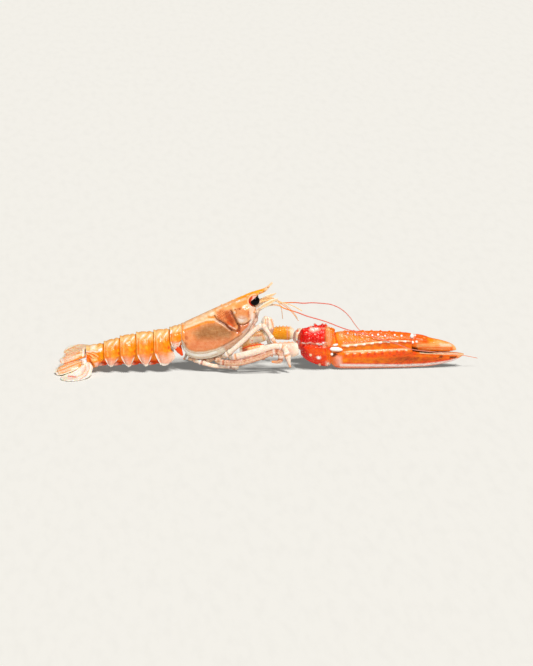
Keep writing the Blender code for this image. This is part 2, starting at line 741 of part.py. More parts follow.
def main():
    clear_scene()
    root = bpy.data.objects.new("langoustine", None)
    bpy.context.scene.collection.objects.link(root)
    add_carapace(root)
    for side in (NEAR, FAR):
        add_eye(side, root)
    add_abdomen(root)
    add_tail_fan(root)
    add_feelers(root)
    add_underside(root)
    add_walking_legs(root)
    add_claw_arms(root)
    add_claws(root)
    centre_on_ground(root)


main()
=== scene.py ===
"""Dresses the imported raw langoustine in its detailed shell, feelers, legs and claws.

Sizes are in millimetres in an anatomical frame: the middle plane of the body is y = 0, the near
(right) side is -Y, the head and claws point to +X and the ground is close to z = 0. PLACE carries
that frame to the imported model's own.
"""

import math

import bpy
import numpy as np
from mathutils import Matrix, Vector


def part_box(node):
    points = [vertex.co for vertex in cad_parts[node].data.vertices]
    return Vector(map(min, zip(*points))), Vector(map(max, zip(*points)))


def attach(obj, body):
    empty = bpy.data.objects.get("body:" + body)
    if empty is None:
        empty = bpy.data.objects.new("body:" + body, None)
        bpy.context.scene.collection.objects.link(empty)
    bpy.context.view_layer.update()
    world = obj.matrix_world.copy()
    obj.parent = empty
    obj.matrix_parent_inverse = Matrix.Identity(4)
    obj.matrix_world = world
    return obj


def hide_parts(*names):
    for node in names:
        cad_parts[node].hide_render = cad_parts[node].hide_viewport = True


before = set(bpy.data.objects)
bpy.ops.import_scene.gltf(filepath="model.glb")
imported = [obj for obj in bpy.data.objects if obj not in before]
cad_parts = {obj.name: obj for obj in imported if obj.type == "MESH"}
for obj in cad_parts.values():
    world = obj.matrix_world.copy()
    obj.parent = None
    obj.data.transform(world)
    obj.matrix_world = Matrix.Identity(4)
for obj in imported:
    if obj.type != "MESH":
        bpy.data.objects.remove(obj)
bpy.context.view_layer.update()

bl_info = {
    "name": "Raw langoustine",
    "version": (1, 0, 0),
    "blender": (4, 5, 0),
    "location": "View3D > Sidebar > Langoustine",
    "description": "Shell, feelers, legs and claws of a raw langoustine",
    "category": "Object",
}

MM = 0.001
NEAR = -1
FAR = 1
SIDES = ((NEAR, "near"), (FAR, "far"))
ACROSS_Y = (0.0, 1.0, 0.0)
UPWARDS = (0.0, 0.0, 1.0)
TAU = math.tau
# The carapace's rear edge and the lowest point of its rim.
CARAPACE_REAR = -67.0
RIM_BOTTOM = 11.6
# The direction of the side view: how far x and z shift with the distance from the middle plane.
VIEW_SHEAR = 0.07
VIEW_RISE = 0.2309
VIEW_TURN = (0.0698, 0.9976)
# A distance beyond every point, and a middle plane so far off that no point is mirrored by it.
FARAWAY = 1e9
UNMIRRORED = 9e9
# Where a line or a spot is full and where it ends, in shares of its width or radius.
LINE_FADE = (0.35, 1.3)
SPOT_FADE = (0.5, 1.2)


def frame_shift():
    """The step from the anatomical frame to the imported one: the carapace's box gives it."""
    low, high = (np.array(corner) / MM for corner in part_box("carapace"))
    return np.array((low[0] - CARAPACE_REAR, (low[1] + high[1]) / 2, low[2] - RIM_BOTTOM))


PLACE = frame_shift()


# ---------------------------------------------------------------- numbers to fields

def srgb(red, green, blue):
    """Display colour 0 to 255 as linear light: a share s becomes ((s + 0.055) / 1.055) ** 2.4."""
    share = np.array((red, green, blue), float) / 255
    return np.where(share <= 0.04045, share / 12.92, ((share + 0.055) / 1.055) ** 2.4)


def ease(low, high, value):
    """0 below low, 1 above high, and t * t * (3 - 2 * t) between them."""
    t = np.clip((value - low) / (high - low), 0, 1)
    return t * t * (3 - 2 * t)


def hump(value, centre, width):
    """A bell: e to the minus square of the distance from the centre in widths."""
    return np.exp(-(((value - centre) / width) ** 2))


def band(low, high, soft, value):
    """1 between low and high, easing to 0 over soft on each side."""
    return ease(low - soft, low + soft, value) * (1 - ease(high - soft, high + soft, value))


def curve(knots, values, t):
    """Cubic curves through values at knots, read at t. Slopes are harmonic means of the chords,
    and 0 where those change sign, so that no curve swings past its knots."""
    knots = np.asarray(knots, float)
    values = np.asarray(values, float)
    if values.ndim == 1:
        values = values[:, None]
    t = np.asarray(t, float)
    gaps = np.diff(knots)[:, None]
    chords = np.diff(values, axis=0) / gaps
    before, after = chords[:-1], chords[1:]
    same = before * after > 0
    inner = np.where(same, 2 * before * after / np.where(same, before + after, 1), 0)
    slopes = np.vstack((chords[:1], inner, chords[-1:]))
    index = np.clip(np.searchsorted(knots, t, side="right") - 1, 0, len(knots) - 2)
    gap = gaps[index]
    s = ((t - knots[index]) / gap[:, 0])[:, None]
    start = values[index] * (2 * s**3 - 3 * s**2 + 1) + slopes[index] * gap * (s**3 - 2 * s**2 + s)
    end = values[index + 1] * (3 * s**2 - 2 * s**3) + slopes[index + 1] * gap * (s**3 - s**2)
    return start + end


def ripple(points, size, phase=0.0):
    """Gentle unevenness from -1 to 1: a product of three slanted sine waves of that size."""
    x, y, z = (points[..., axis] * TAU / size for axis in range(3))
    first = np.sin(x + 1.7 * y + 0.4 * z + phase)
    second = np.sin(0.8 * y - 1.3 * z + 0.5 * x + 2.1 * phase)
    third = np.sin(1.1 * z + 0.9 * x - 0.7 * y + 3.7 * phase)
    return (first * second + second * third + third * first) / 3


def line_distance(x, z, line):
    """Distance from each point to a broken line: the least over its pieces."""
    best = np.full(np.shape(x), FARAWAY)
    for (x0, z0), (x1, z1) in zip(line, line[1:]):
        dx, dz = x1 - x0, z1 - z0
        share = np.clip(((x - x0) * dx + (z - z0) * dz) / (dx * dx + dz * dz), 0, 1)
        best = np.minimum(best, np.hypot(x - x0 - share * dx, z - z0 - share * dz))
    return best


def area_mask(x, z, outline, soft):
    """1 inside a closed outline, easing to 0 over soft outside it: crossings counted along x."""
    inside = np.zeros(np.shape(x), bool)
    closed = list(outline) + [outline[0]]
    for (x0, z0), (x1, z1) in zip(closed, closed[1:]):
        if z0 != z1:
            crosses = (z0 > z) != (z1 > z)
            inside ^= crosses & (x < (x1 - x0) * (z - z0) / (z1 - z0) + x0)
    distance = line_distance(x, z, closed)
    return ease(-soft, soft, np.where(inside, distance, -distance))


def tinted(paint, colour, mask):
    """The paint mixed towards a colour by a mask from 0 to 1."""
    mask = np.clip(mask, 0, 1)[..., None]
    return paint * (1 - mask) + np.asarray(colour) * mask


def layered(paint, c, *layers):
    """The paint mixed towards each layer's colour in turn, by that layer's mask from 0 to 1."""
    for key, mask in layers:
        paint = tinted(paint, c[key], mask)
    return paint


def coloured(points, c, base, *layers):
    """A grid's paint: a base colour with layers over it."""
    return layered(flat_paint(points, c[base]), c, *layers)


def side_view(points, middle=0.0, wobble=0.3):
    """Where points appear from the near side and a little above: mm along and mm up. Points
    beyond the middle plane are mirrored to this side, and a small ripple loosens every edge."""
    x, z = points[..., 0], points[..., 2]
    near = np.minimum(points[..., 1], 2 * middle - points[..., 1])
    along = x - VIEW_SHEAR * near + wobble * ripple(points, 3.1, 0.7)
    depth = VIEW_TURN[0] * x + VIEW_TURN[1] * near
    return along, z + VIEW_RISE * depth + wobble * ripple(points, 2.7, 3.1)


def mark_mask(view, mark):
    """From 0 to 1, where a mark lies in the side view: inside an outline, along a line of that
    width, or round each of some spots of that radius."""
    kind, _, strength, soft, places = mark
    along, up = view
    if kind == "area":
        return strength * area_mask(along, up, places, soft)
    if kind == "line":
        distance = line_distance(along, up, places)
        return strength * (1 - ease(LINE_FADE[0] * soft, LINE_FADE[1] * soft, distance))
    near = np.full(np.shape(along), FARAWAY)
    for place in places:
        near = np.minimum(near, np.hypot(along - place[0], up - place[1]))
    return strength * (1 - ease(SPOT_FADE[0] * soft, SPOT_FADE[1] * soft, near))


def marked(paint, view, marks, c):
    """The paint with each mark's colour laid over it in turn."""
    for mark in marks:
        paint = tinted(paint, c[mark[1]], mark_mask(view, mark))
    return paint


def embossed(view, marks):
    """Heights in mm from marks whose strength is a height and whose colour is unused."""
    return sum(mark_mask(view, mark) for mark in marks)


# ---------------------------------------------------------------- surfaces

def flat_paint(points, colour):
    """The same colour at every point of a grid."""
    return np.broadcast_to(np.asarray(colour, float), points.shape).copy()


def grid_normals(points):
    """Unit normals of a tube-like grid, facing away from each row's middle."""
    down = np.gradient(points, axis=0)
    across = np.roll(points, -1, axis=1) - np.roll(points, 1, axis=1)
    normals = np.cross(down, across)
    normals /= np.maximum(np.linalg.norm(normals, axis=2, keepdims=True), 1e-9)
    outwards = points - points.mean(axis=1, keepdims=True)
    return normals * np.sign((normals * outwards).sum())


def raised(points, height):
    """The grid moved along its normals by a height at each point."""
    return points + grid_normals(points) * height[..., None]


def tube(stations, rows, around, side=NEAR, across=ACROSS_Y, mirror=True):
    """A tube along a path: stations of x, y, z, half width and half height are joined by smooth
    curves over their chord length, and each row is an ellipse square to the path.

    Returns the grid, the share of the way along each row, and the angle of each column."""
    table = np.array(stations, float)
    if mirror:
        table[:, 1] *= side
    reach = np.concatenate(([0], np.cumsum(np.linalg.norm(np.diff(table[:, :3], axis=0), axis=1))))
    values = curve(reach, table, np.linspace(0, reach[-1], rows))
    path = values[:, :3]
    along = np.gradient(path, axis=0)
    along /= np.linalg.norm(along, axis=1, keepdims=True)
    across = np.array(across, float)
    sideways = across - along * (along @ across)[:, None]
    sideways /= np.linalg.norm(sideways, axis=1, keepdims=True)
    up = np.cross(along, sideways)
    angle = np.linspace(0, TAU, around, endpoint=False)
    wide = sideways[:, None] * (values[:, 3:4] * np.cos(angle))[..., None]
    high = up[:, None] * (values[:, 4:5] * np.sin(angle))[..., None]
    return path[:, None] + wide + high, reach / reach[-1], angle


def share_grid(points):
    """The share of the way along for each point of a grid, row by row."""
    return np.broadcast_to(np.linspace(0, 1, points.shape[0])[:, None], points.shape[:2])


def blob(centre, radii, rows=14, around=20, tilt=0.0):
    """A closed egg: latitude circles scaled by three radii and leant about Y by a tilt."""
    polar = np.linspace(0.02, math.pi - 0.02, rows)[:, None]
    turn = np.linspace(0, TAU, around, endpoint=False)
    x = radii[0] * np.sin(polar) * np.cos(turn)
    y = radii[1] * np.sin(polar) * np.sin(turn)
    z = radii[2] * np.cos(polar) * np.ones_like(turn)
    lean_x = x * math.cos(tilt) + z * math.sin(tilt)
    lean_z = z * math.cos(tilt) - x * math.sin(tilt)
    return np.stack((lean_x, y, lean_z), axis=2) + np.asarray(centre, float)


def spine(foot, tip, radius, rows=7, around=9):
    """A thorn from foot to tip: rings whose radius falls as 1 - t ** 1.4."""
    foot, tip = np.asarray(foot, float), np.asarray(tip, float)
    along = (tip - foot) / np.linalg.norm(tip - foot)
    side = np.cross(along, (0.31, 0.87, 0.39))
    side /= np.linalg.norm(side)
    up = np.cross(along, side)
    t = np.linspace(0, 0.97, rows)
    turn = np.linspace(0, TAU, around, endpoint=False)
    ring = side * np.cos(turn)[:, None] + up * np.sin(turn)[:, None]
    centre = foot + (tip - foot) * t[:, None]
    return centre[:, None] + ring[None] * (radius * (1 - t**1.4))[:, None, None]


def grid_faces(rows, around, first):
    """Quads between neighbouring rows, and a fan of triangles to a pole past each end."""
    start = first + np.arange(rows * around).reshape(rows, around)
    after = np.roll(start, -1, axis=1)
    quads = np.stack((start[:-1], after[:-1], after[1:], start[1:]), axis=2).reshape(-1, 4)
    pole = first + rows * around
    low = np.stack((after[0], start[0], np.full(around, pole)), axis=1)
    high = np.stack((start[-1], after[-1], np.full(around, pole + 1)), axis=1)
    return quads, np.concatenate((low, high))


def facing_out(vertices, quads, triangles):
    """The same faces, turned round if the volume they enclose comes out negative."""
    halves = np.concatenate((quads[:, :3], quads[:, [0, 2, 3]], triangles))
    a, b, c = (vertices[halves[:, corner]] for corner in range(3))
    if np.einsum("ij,ij->i", a, np.cross(b, c)).sum() < 0:
        return quads[:, ::-1], triangles[:, ::-1]
    return quads, triangles


def add_piece(name, parts, finish, slot, *nodes):
    """One object from several closed grids of points, each with its paint, for these nodes."""
    vertices, colours, quads, triangles = [], [], [], []
    first = 0
    for points, paint in parts:
        rows, around = points.shape[:2]
        poles = np.stack((points[0].mean(axis=0), points[-1].mean(axis=0)))
        own = np.concatenate((points.reshape(-1, 3), poles)) + PLACE
        own_quads, own_triangles = facing_out(own, *grid_faces(rows, around, 0))
        pole_paint = np.stack((paint[0].mean(axis=0), paint[-1].mean(axis=0)))
        vertices.append(own)
        colours.append(np.concatenate((paint.reshape(-1, 3), pole_paint)))
        quads.append(own_quads + first)
        triangles.append(own_triangles + first)
        first += len(own)
    vertices = np.concatenate(vertices) * MM
    colours = np.concatenate(colours)
    quads, triangles = np.concatenate(quads), np.concatenate(triangles)
    mesh = bpy.data.meshes.new(name)
    mesh.vertices.add(len(vertices))
    mesh.vertices.foreach_set("co", vertices.astype(np.float32).ravel())
    corners = np.concatenate((quads.ravel(), triangles.ravel()))
    mesh.loops.add(len(corners))
    mesh.loops.foreach_set("vertex_index", corners.astype(np.int32))
    starts = np.concatenate(
        (np.arange(len(quads)) * 4, len(quads) * 4 + np.arange(len(triangles)) * 3)
    )
    mesh.polygons.add(len(starts))
    mesh.polygons.foreach_set("loop_start", starts.astype(np.int32))
    mesh.update(calc_edges=True)
    mesh.shade_smooth()
    attribute = mesh.attributes.new("paint", "FLOAT_COLOR", "POINT")
    solid = np.concatenate((np.clip(colours, 0, 1), np.ones((len(colours), 1))), axis=1)
    attribute.data.foreach_set("color", solid.astype(np.float32).ravel())
    mesh.materials.append(finish)
    piece = bpy.data.objects.new(name, mesh)
    bpy.context.scene.collection.objects.link(piece)
    piece.visible_diffuse = slot == "shell_fan"
    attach(piece, "root")
    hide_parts(*nodes)
    return piece


# ---------------------------------------------------------------- finishes

# Each finish: roughness, coat, light let in, its depth in mm, size of the mottling in mm, its
# strength, strength and size in mm of the fine grain, strength of the bumps.
FINISHES = {
    "wet_shell": (0.26, 0.28, 0.10, 0.9, 3.2, 0.14, 0.14, 0.35, 0.22),
    "tail_shell": (0.30, 0.12, 0.12, 1.2, 3.8, 0.16, 0.10, 0.45, 0.18),
    "fan_shell": (0.28, 0.22, 0.35, 1.4, 2.6, 0.12, 0.12, 0.40, 0.20),
    "claw_shell": (0.30, 0.14, 0.10, 1.0, 4.5, 0.14, 0.14, 0.40, 0.26),
    "leg_shell": (0.32, 0.25, 0.18, 1.0, 2.4, 0.12, 0.12, 0.35, 0.20),
    "under_shell": (0.45, 0.15, 0.12, 1.0, 2.6, 0.20, 0.16, 0.40, 0.22),
    "feeler_shell": (0.38, 0.15, 0.10, 0.5, 2.0, 0.12, 0.12, 0.30, 0.15),
}

# The noise's values between these are spread over the whole range.
NOISE_RANGE = (0.32, 0.68)


def new_material(name):
    """A new material: itself, its nodes, its links and its shader."""
    material = bpy.data.materials.new(name)
    material.use_nodes = True
    nodes, links = material.node_tree.nodes, material.node_tree.links
    return material, nodes, links, nodes["Principled BSDF"]


def fill(node, **values):
    """The node, with each named input set to its value; _ in a name stands for a space."""
    for name, value in values.items():
        node.inputs[name.replace("_", " ")].default_value = value
    return node


def painted(nodes):
    """The colour painted on the points."""
    paint = nodes.new("ShaderNodeAttribute")
    paint.attribute_name = "paint"
    return paint.outputs["Color"]


def shell_finish(name):
    """A wet shell: the painted colour, mottled by soft noise and dotted by fine grain, over flesh
    that lets some light in, with a clear wet coat and small bumps."""
    if name in bpy.data.materials:
        return bpy.data.materials[name]
    rough, coat, inside, depth, mottle, mottled, grained, grain, bumpy = FINISHES[name]
    material, nodes, links, shader = new_material(name)
    place = nodes.new("ShaderNodeTexCoord")

    def noise(size, detail):
        """Noise whose scale is one over its size in metres."""
        found = fill(nodes.new("ShaderNodeTexNoise"), Scale=1 / (size * MM), Detail=detail)
        links.new(place.outputs["Object"], found.inputs["Vector"])
        return found.outputs["Fac"]

    def stretched(value, low, high):
        """A noise's value carried in a straight line from the noise's range to low and high."""
        found = fill(nodes.new("ShaderNodeMapRange"), To_Min=low, To_Max=high,
                     From_Min=NOISE_RANGE[0], From_Max=NOISE_RANGE[1])
        links.new(value, found.inputs["Value"])
        return found.outputs["Result"]

    both = nodes.new("ShaderNodeMath")
    both.operation = "MULTIPLY"
    links.new(stretched(noise(mottle, 4), 1 - mottled, 1 + mottled), both.inputs[0])
    links.new(stretched(noise(grain, 2), 1 - grained, 1 + grained), both.inputs[1])
    deeper = nodes.new("ShaderNodeGamma")
    links.new(painted(nodes), deeper.inputs["Color"])
    links.new(both.outputs["Value"], deeper.inputs["Gamma"])
    links.new(deeper.outputs["Color"], shader.inputs["Base Color"])
    matt = stretched(noise(mottle * 0.4, 3), rough - 0.08, rough + 0.10)
    links.new(matt, shader.inputs["Roughness"])
    bump = fill(nodes.new("ShaderNodeBump"), Strength=bumpy, Distance=0.25 * MM)
    links.new(noise(grain * 2.2, 5), bump.inputs["Height"])
    links.new(bump.outputs["Normal"], shader.inputs["Normal"])
    fill(shader, Specular_IOR_Level=0.24, Coat_Weight=coat, Coat_Roughness=0.10,
         Subsurface_Weight=inside, Subsurface_Radius=(1.0, 0.45, 0.20),
         Subsurface_Scale=depth * MM)
    return material


def eye_finish():
    """The black glass of the eye: very smooth under its paint, with the small bumps of facets."""
    if "eye_glass" in bpy.data.materials:
        return bpy.data.materials["eye_glass"]
    material, nodes, links, shader = new_material("eye_glass")
    place = nodes.new("ShaderNodeTexCoord")
    cells = fill(nodes.new("ShaderNodeTexVoronoi"), Scale=1 / (0.28 * MM))
    links.new(place.outputs["Object"], cells.inputs["Vector"])
    bump = fill(nodes.new("ShaderNodeBump"), Strength=0.06, Distance=0.05 * MM)
    links.new(cells.outputs["Distance"], bump.inputs["Height"])
    links.new(bump.outputs["Normal"], shader.inputs["Normal"])
    links.new(painted(nodes), shader.inputs["Base Color"])
    fill(shader, Roughness=0.16, Specular_IOR_Level=0.06, Coat_Weight=0.04, Coat_Roughness=0.05)
    return material


def floor_finish():
    """Pale warm floor: a base colour with a very faint cloud, drawn out across the view."""
    material, nodes, links, shader = new_material("pale_floor")
    place = nodes.new("ShaderNodeTexCoord")
    stretch = fill(nodes.new("ShaderNodeMapping"), Scale=(1.0, 0.22, 1.0))
    links.new(place.outputs["Object"], stretch.inputs["Vector"])
    cloud = fill(nodes.new("ShaderNodeTexNoise"), Scale=130, Detail=4)
    links.new(stretch.outputs["Vector"], cloud.inputs["Vector"])
    ramp = nodes.new("ShaderNodeValToRGB")
    colour = np.array(bpy.context.scene.langoustine_stage.floor_colour)
    dim, full = ramp.color_ramp.elements
    dim.position, dim.color = 0.30, (*colour * 0.975, 1)
    full.position, full.color = 0.55, (*colour, 1)
    links.new(cloud.outputs["Fac"], ramp.inputs["Fac"])
    links.new(ramp.outputs["Color"], shader.inputs["Base Color"])
    fill(shader, Roughness=0.95, Specular_IOR_Level=0.1)
    return material


# ---------------------------------------------------------------- settings

# Shell colours: what each is on, and its display colour.
COLOURS = {
    "peach": ("Back of the carapace", (252, 186, 122)),
    # This colour also paints highlights on the upper back and beside the eye.
    "pale_peach": ("Pale flecks and lines of the back", (255, 226, 190)),
    "orange": ("Orange of back and rostrum", (250, 142, 40)),
    "amber": ("Amber keel of the rostrum", (255, 166, 24)),
    "gill": ("Gill cover", (238, 150, 92)),
    "tan": ("Middle of the gill cover", (168, 112, 66)),
    "salmon": ("Lower gill cover and cheek", (222, 126, 80)),
    "knob": ("Cheek knob", (208, 112, 62)),
    "cream": ("Lower rim of the carapace", (228, 212, 190)),
    "rim_tan": ("Front of the rim", (214, 158, 124)),
    "blush": ("Pale pink patches", (250, 206, 182)),
    # This colour paints the dark grains between the grooves, and painted shade: at the bottoms of
    # the carapace's grooves, in the wrist's front crease and over the palm's lower face.
    "groove": ("Bottom of the dark grooves", (100, 36, 10)),
    "grain": ("Patch between the grooves", (232, 124, 62)),
    # This colour also paints soft shade along the carapace's neck and cheek grooves.
    "rust": ("Grainy patch between the grooves", (178, 72, 26)),
    "tail_orange": ("Back of the tail", (255, 134, 0)),
    "tail_amber": ("Amber clouds of the tail", (255, 162, 22)),
    "tail_light": ("Light edges of the tail", (255, 206, 136)),
    "plate_salmon": ("Upper side plates of the tail", (250, 136, 60)),
    "plate_pink": ("Side plates of the tail", (244, 178, 150)),
    "plate_edge": ("Edges of the side plates", (255, 240, 226)),
    "belly_red": ("Under the tail", (236, 74, 0)),
    "fan_peach": ("Blades of the tail fan", (255, 214, 170)),
    "fan_rib": ("Ribs of the tail fan", (250, 140, 30)),
    "fringe": ("Fringe of the tail fan", (255, 250, 238)),
    "claw_orange": ("Face of the claws", (255, 110, 0)),
    "claw_amber": ("Light orange of the claws", (255, 144, 10)),
    # This colour also paints the highlight band and the pale highlight streak along the moving
    # finger.
    "claw_peach": ("Pale bands of the claws", (255, 188, 122)),
    # This colour is a brown streak along the fixed finger and painted shade over the palm's lower
    # face.
    "claw_brown": ("Brown streak of the claws", (176, 62, 8)),
    "claw_cream": ("Teeth and lines of the claws", (255, 228, 186)),
    "claw_pink": ("Underside of the claws", (250, 158, 128)),
    "claw_strip": ("Pale strip under the claws", (255, 226, 220)),
    "wrist_red": ("Wrist of the claw arm", (244, 10, 0)),
    "wrist_deep": ("Deep red of the wrist", (184, 6, 0)),
    # This colour also paints a shadow under each saw tooth of the claws.
    "wrist_orange": ("Orange red of the wrist", (244, 66, 4)),
    "leg_cream": ("Pale legs", (255, 234, 212)),
    "leg_tan": ("Tan legs", (236, 190, 154)),
    # This colour also paints shade on the legs' undersides and in the folds of the mouthparts and
    # breastplate.
    "leg_rust": ("Joints of the legs", (190, 84, 38)),
    "leg_red": ("Dark red edges of the legs", (160, 52, 24)),
    # White also paints highlights: on the tail rings, the last ring, the fan, the back, the
    # wrist's top, the moving finger and the claws' knobs.
    "white": ("White points and spots", (255, 252, 246)),
    "feeler_pink": ("Whips of the feelers", (232, 112, 92)),
    # This colour is painted shade: the hollow under the carapace, the joint under the claw's
    # knuckle, the gap between the fingers and patches below the fixed finger's cutting edge.
    "dark": ("Hollows", (36, 12, 4)),
    "black": ("Eye", (6, 5, 6)),
}


def colour_property(label, display):
    """A colour setting whose default is that display colour."""
    return bpy.props.FloatVectorProperty(
        name=label,
        description=label,
        subtype="COLOR",
        size=3,
        min=0.0,
        max=1.0,
        default=tuple(float(channel) for channel in srgb(*display)),
    )


class LangoustineColours(bpy.types.PropertyGroup):
    """The shell's colours, by where they lie."""

    __annotations__ = {key: colour_property(*value) for key, value in COLOURS.items()}


# The wrist spines' length in mm for which their table is written.
WRIST_SPINE = 2.4


class LangoustineSizes(bpy.types.PropertyGroup):
    """How far the shell's relief stands out."""

    groove_depth: bpy.props.FloatProperty(
        name="Groove depth",
        description="Depth of the two dark grooves of the carapace",
        default=1.0 * MM,
        unit="LENGTH",
    )
    tooth_height: bpy.props.FloatProperty(
        name="Tooth height",
        description="Height of the rows of teeth on the claws",
        default=1.25 * MM,
        unit="LENGTH",
    )
    wrist_spine: bpy.props.FloatProperty(
        name="Wrist spine",
        description="Length of the spines on the wrists",
        default=WRIST_SPINE * MM,
        unit="LENGTH",
    )
    ring_lip: bpy.props.FloatProperty(
        name="Ring lip",
        description="How far a tail ring's rear edge stands over the next ring",
        default=0.45 * MM,
        unit="LENGTH",
    )


class LangoustineStage(bpy.types.PropertyGroup):
    """Floor, lights and camera."""

    floor_colour: bpy.props.FloatVectorProperty(
        name="Floor colour",
        description="Colour of the floor",
        subtype="COLOR",
        size=3,
        default=tuple(float(channel) for channel in srgb(245, 242, 235)),
    )
    sky: bpy.props.FloatProperty(
        name="Sky", description="Strength of the light from all round", default=0.20
    )
    key_light: bpy.props.FloatProperty(
        name="Key light", description="Power of the soft lights from above", default=2.93
    )
    front_light: bpy.props.FloatProperty(
        name="Front light", description="Power of the soft light in front", default=0.42
    )
    camera_distance: bpy.props.FloatProperty(
        name="Camera distance",
        description="From the camera to the middle of the view",
        default=3.0,
        unit="LENGTH",
    )
    view_height: bpy.props.FloatProperty(
        name="View height",
        description="Height of the view at the langoustine",
        default=0.5598,
        unit="LENGTH",
    )


def colours():
    """Every shell colour as an array of three."""
    group = bpy.context.scene.langoustine_colours
    return {key: np.array(getattr(group, key)) for key in COLOURS}


def sizes():
    """The relief's settings."""
    return bpy.context.scene.langoustine_sizes


# ---------------------------------------------------------------- carapace

# x, z of the back, z of the lower rim, half width. The last three are the rostrum.
CARAPACE = np.array(
    (
        (-67.0, 38.9, 25.0, 10.5),
        (-65.0, 39.9, 18.6, 12.4),
        (-60.0, 42.4, 13.2, 14.0),
        (-52.0, 46.0, 11.6, 15.2),
        (-43.5, 49.9, 12.2, 15.6),
        (-35.0, 53.8, 14.8, 15.4),
        (-27.0, 57.2, 19.6, 14.8),
        (-18.0, 60.9, 26.3, 13.6),
        (-12.5, 63.0, 32.6, 12.4),
        (-7.0, 65.3, 41.0, 10.8),
        (-4.8, 65.9, 45.6, 9.6),
        (-3.8, 66.2, 62.0, 2.7),
        (3.8, 68.6, 66.0, 1.9),
        (10.1, 73.8, 73.0, 0.5),
    )
)
# Where the rows of points crowd at the root of the rostrum, and its tip.
ROOT_START, ROOT_END, ROSTRUM_TIP = -5.2, -3.6, 10.1
# How far the arch goes round on each side, measured from the middle of the back.
WRAP = math.radians(125)
# The angle given to the columns underneath.
UNDER_ANGLE = WRAP * 1.2
# Teeth on the rostrum and beside the middle line (x, z, y), and along the middle line (x, z).
ROSTRUM_TEETH = ((-1.0, 65.4, 2.3), (2.6, 66.8, 2.0), (6.0, 69.6, 1.3))
BACK_TEETH = ((-12.0, 62.4, 4.0), (-19.0, 59.2, 4.4), (-27.0, 55.6, 4.9))
MIDDLE_TEETH = ((-9.0, 64.4), (-16.0, 61.6), (-24.0, 58.3), (-33.0, 54.6))
EYE_CENTRE = np.array((-5.4, 8.5, 60.0))
EYE_RADIUS = 4.1
# The stalk, seen from the eye's centre: distance inwards and radius.
EYE_STALK = ((2.6, 3.0), (3.4, 2.9), (4.2, 2.6), (5.2, 2.5), (6.2, 2.2))
ORBIT_RADIUS = 5.2
STALK_INWARDS = np.array((-0.72, -0.55, -0.42)) / math.sqrt(0.72**2 + 0.55**2 + 0.42**2)
# Lines and outlines of the side, seen from the side: mm along and mm up.
NECK_GROOVE = ((-38.5, 45.3), (-36.6, 42.2), (-34.1, 40.5), (-31.6, 39.0), (-29.1, 37.1),
               (-26.5, 34.5), (-24.0, 32.5), (-20.6, 31.0), (-18.5, 31.9))
CHEEK_GROOVE = ((-24.8, 49.3), (-23.2, 46.1), (-21.5, 42.7), (-19.8, 39.2), (-18.1, 36.6),
                (-17.6, 34.1), (-18.4, 31.5))
KNOB_GROOVE = ((-18.9, 38.4), (-16.4, 37.2), (-13.5, 37.2), (-10.9, 38.4), (-8.4, 40.5))
GILL_OUTLINE = ((-67.8, 31.9), (-59.4, 34.9), (-50.9, 38.4), (-45.0, 40.5), (-38.3, 40.9),
                (-32.4, 37.9), (-25.7, 32.8), (-20.6, 29.3), (-17.3, 28.4), (-22.3, 25.0),
                (-27.4, 21.6), (-32.4, 19.0), (-38.3, 16.4), (-46.7, 14.7), (-54.3, 14.2),
                (-59.4, 15.5), (-61.9, 17.7), (-64.4, 22.4), (-67.8, 25.9))
KNOB_OUTLINE = ((-15.2, 52.6), (-10.9, 50.9), (-9.3, 46.1), (-10.5, 41.4), (-15.2, 39.2),
                (-19.4, 41.4), (-21.1, 46.1), (-19.4, 50.9))
RIM_LINE = ((-66.9, 27.6), (-64.4, 21.6), (-61.9, 16.8), (-59.4, 15.1), (-54.3, 13.8),
            (-46.7, 14.2), (-38.3, 15.9), (-32.4, 18.5), (-27.4, 21.1), (-22.3, 24.1),
            (-16.4, 28.0), (-10.5, 33.2), (-5.5, 40.5))
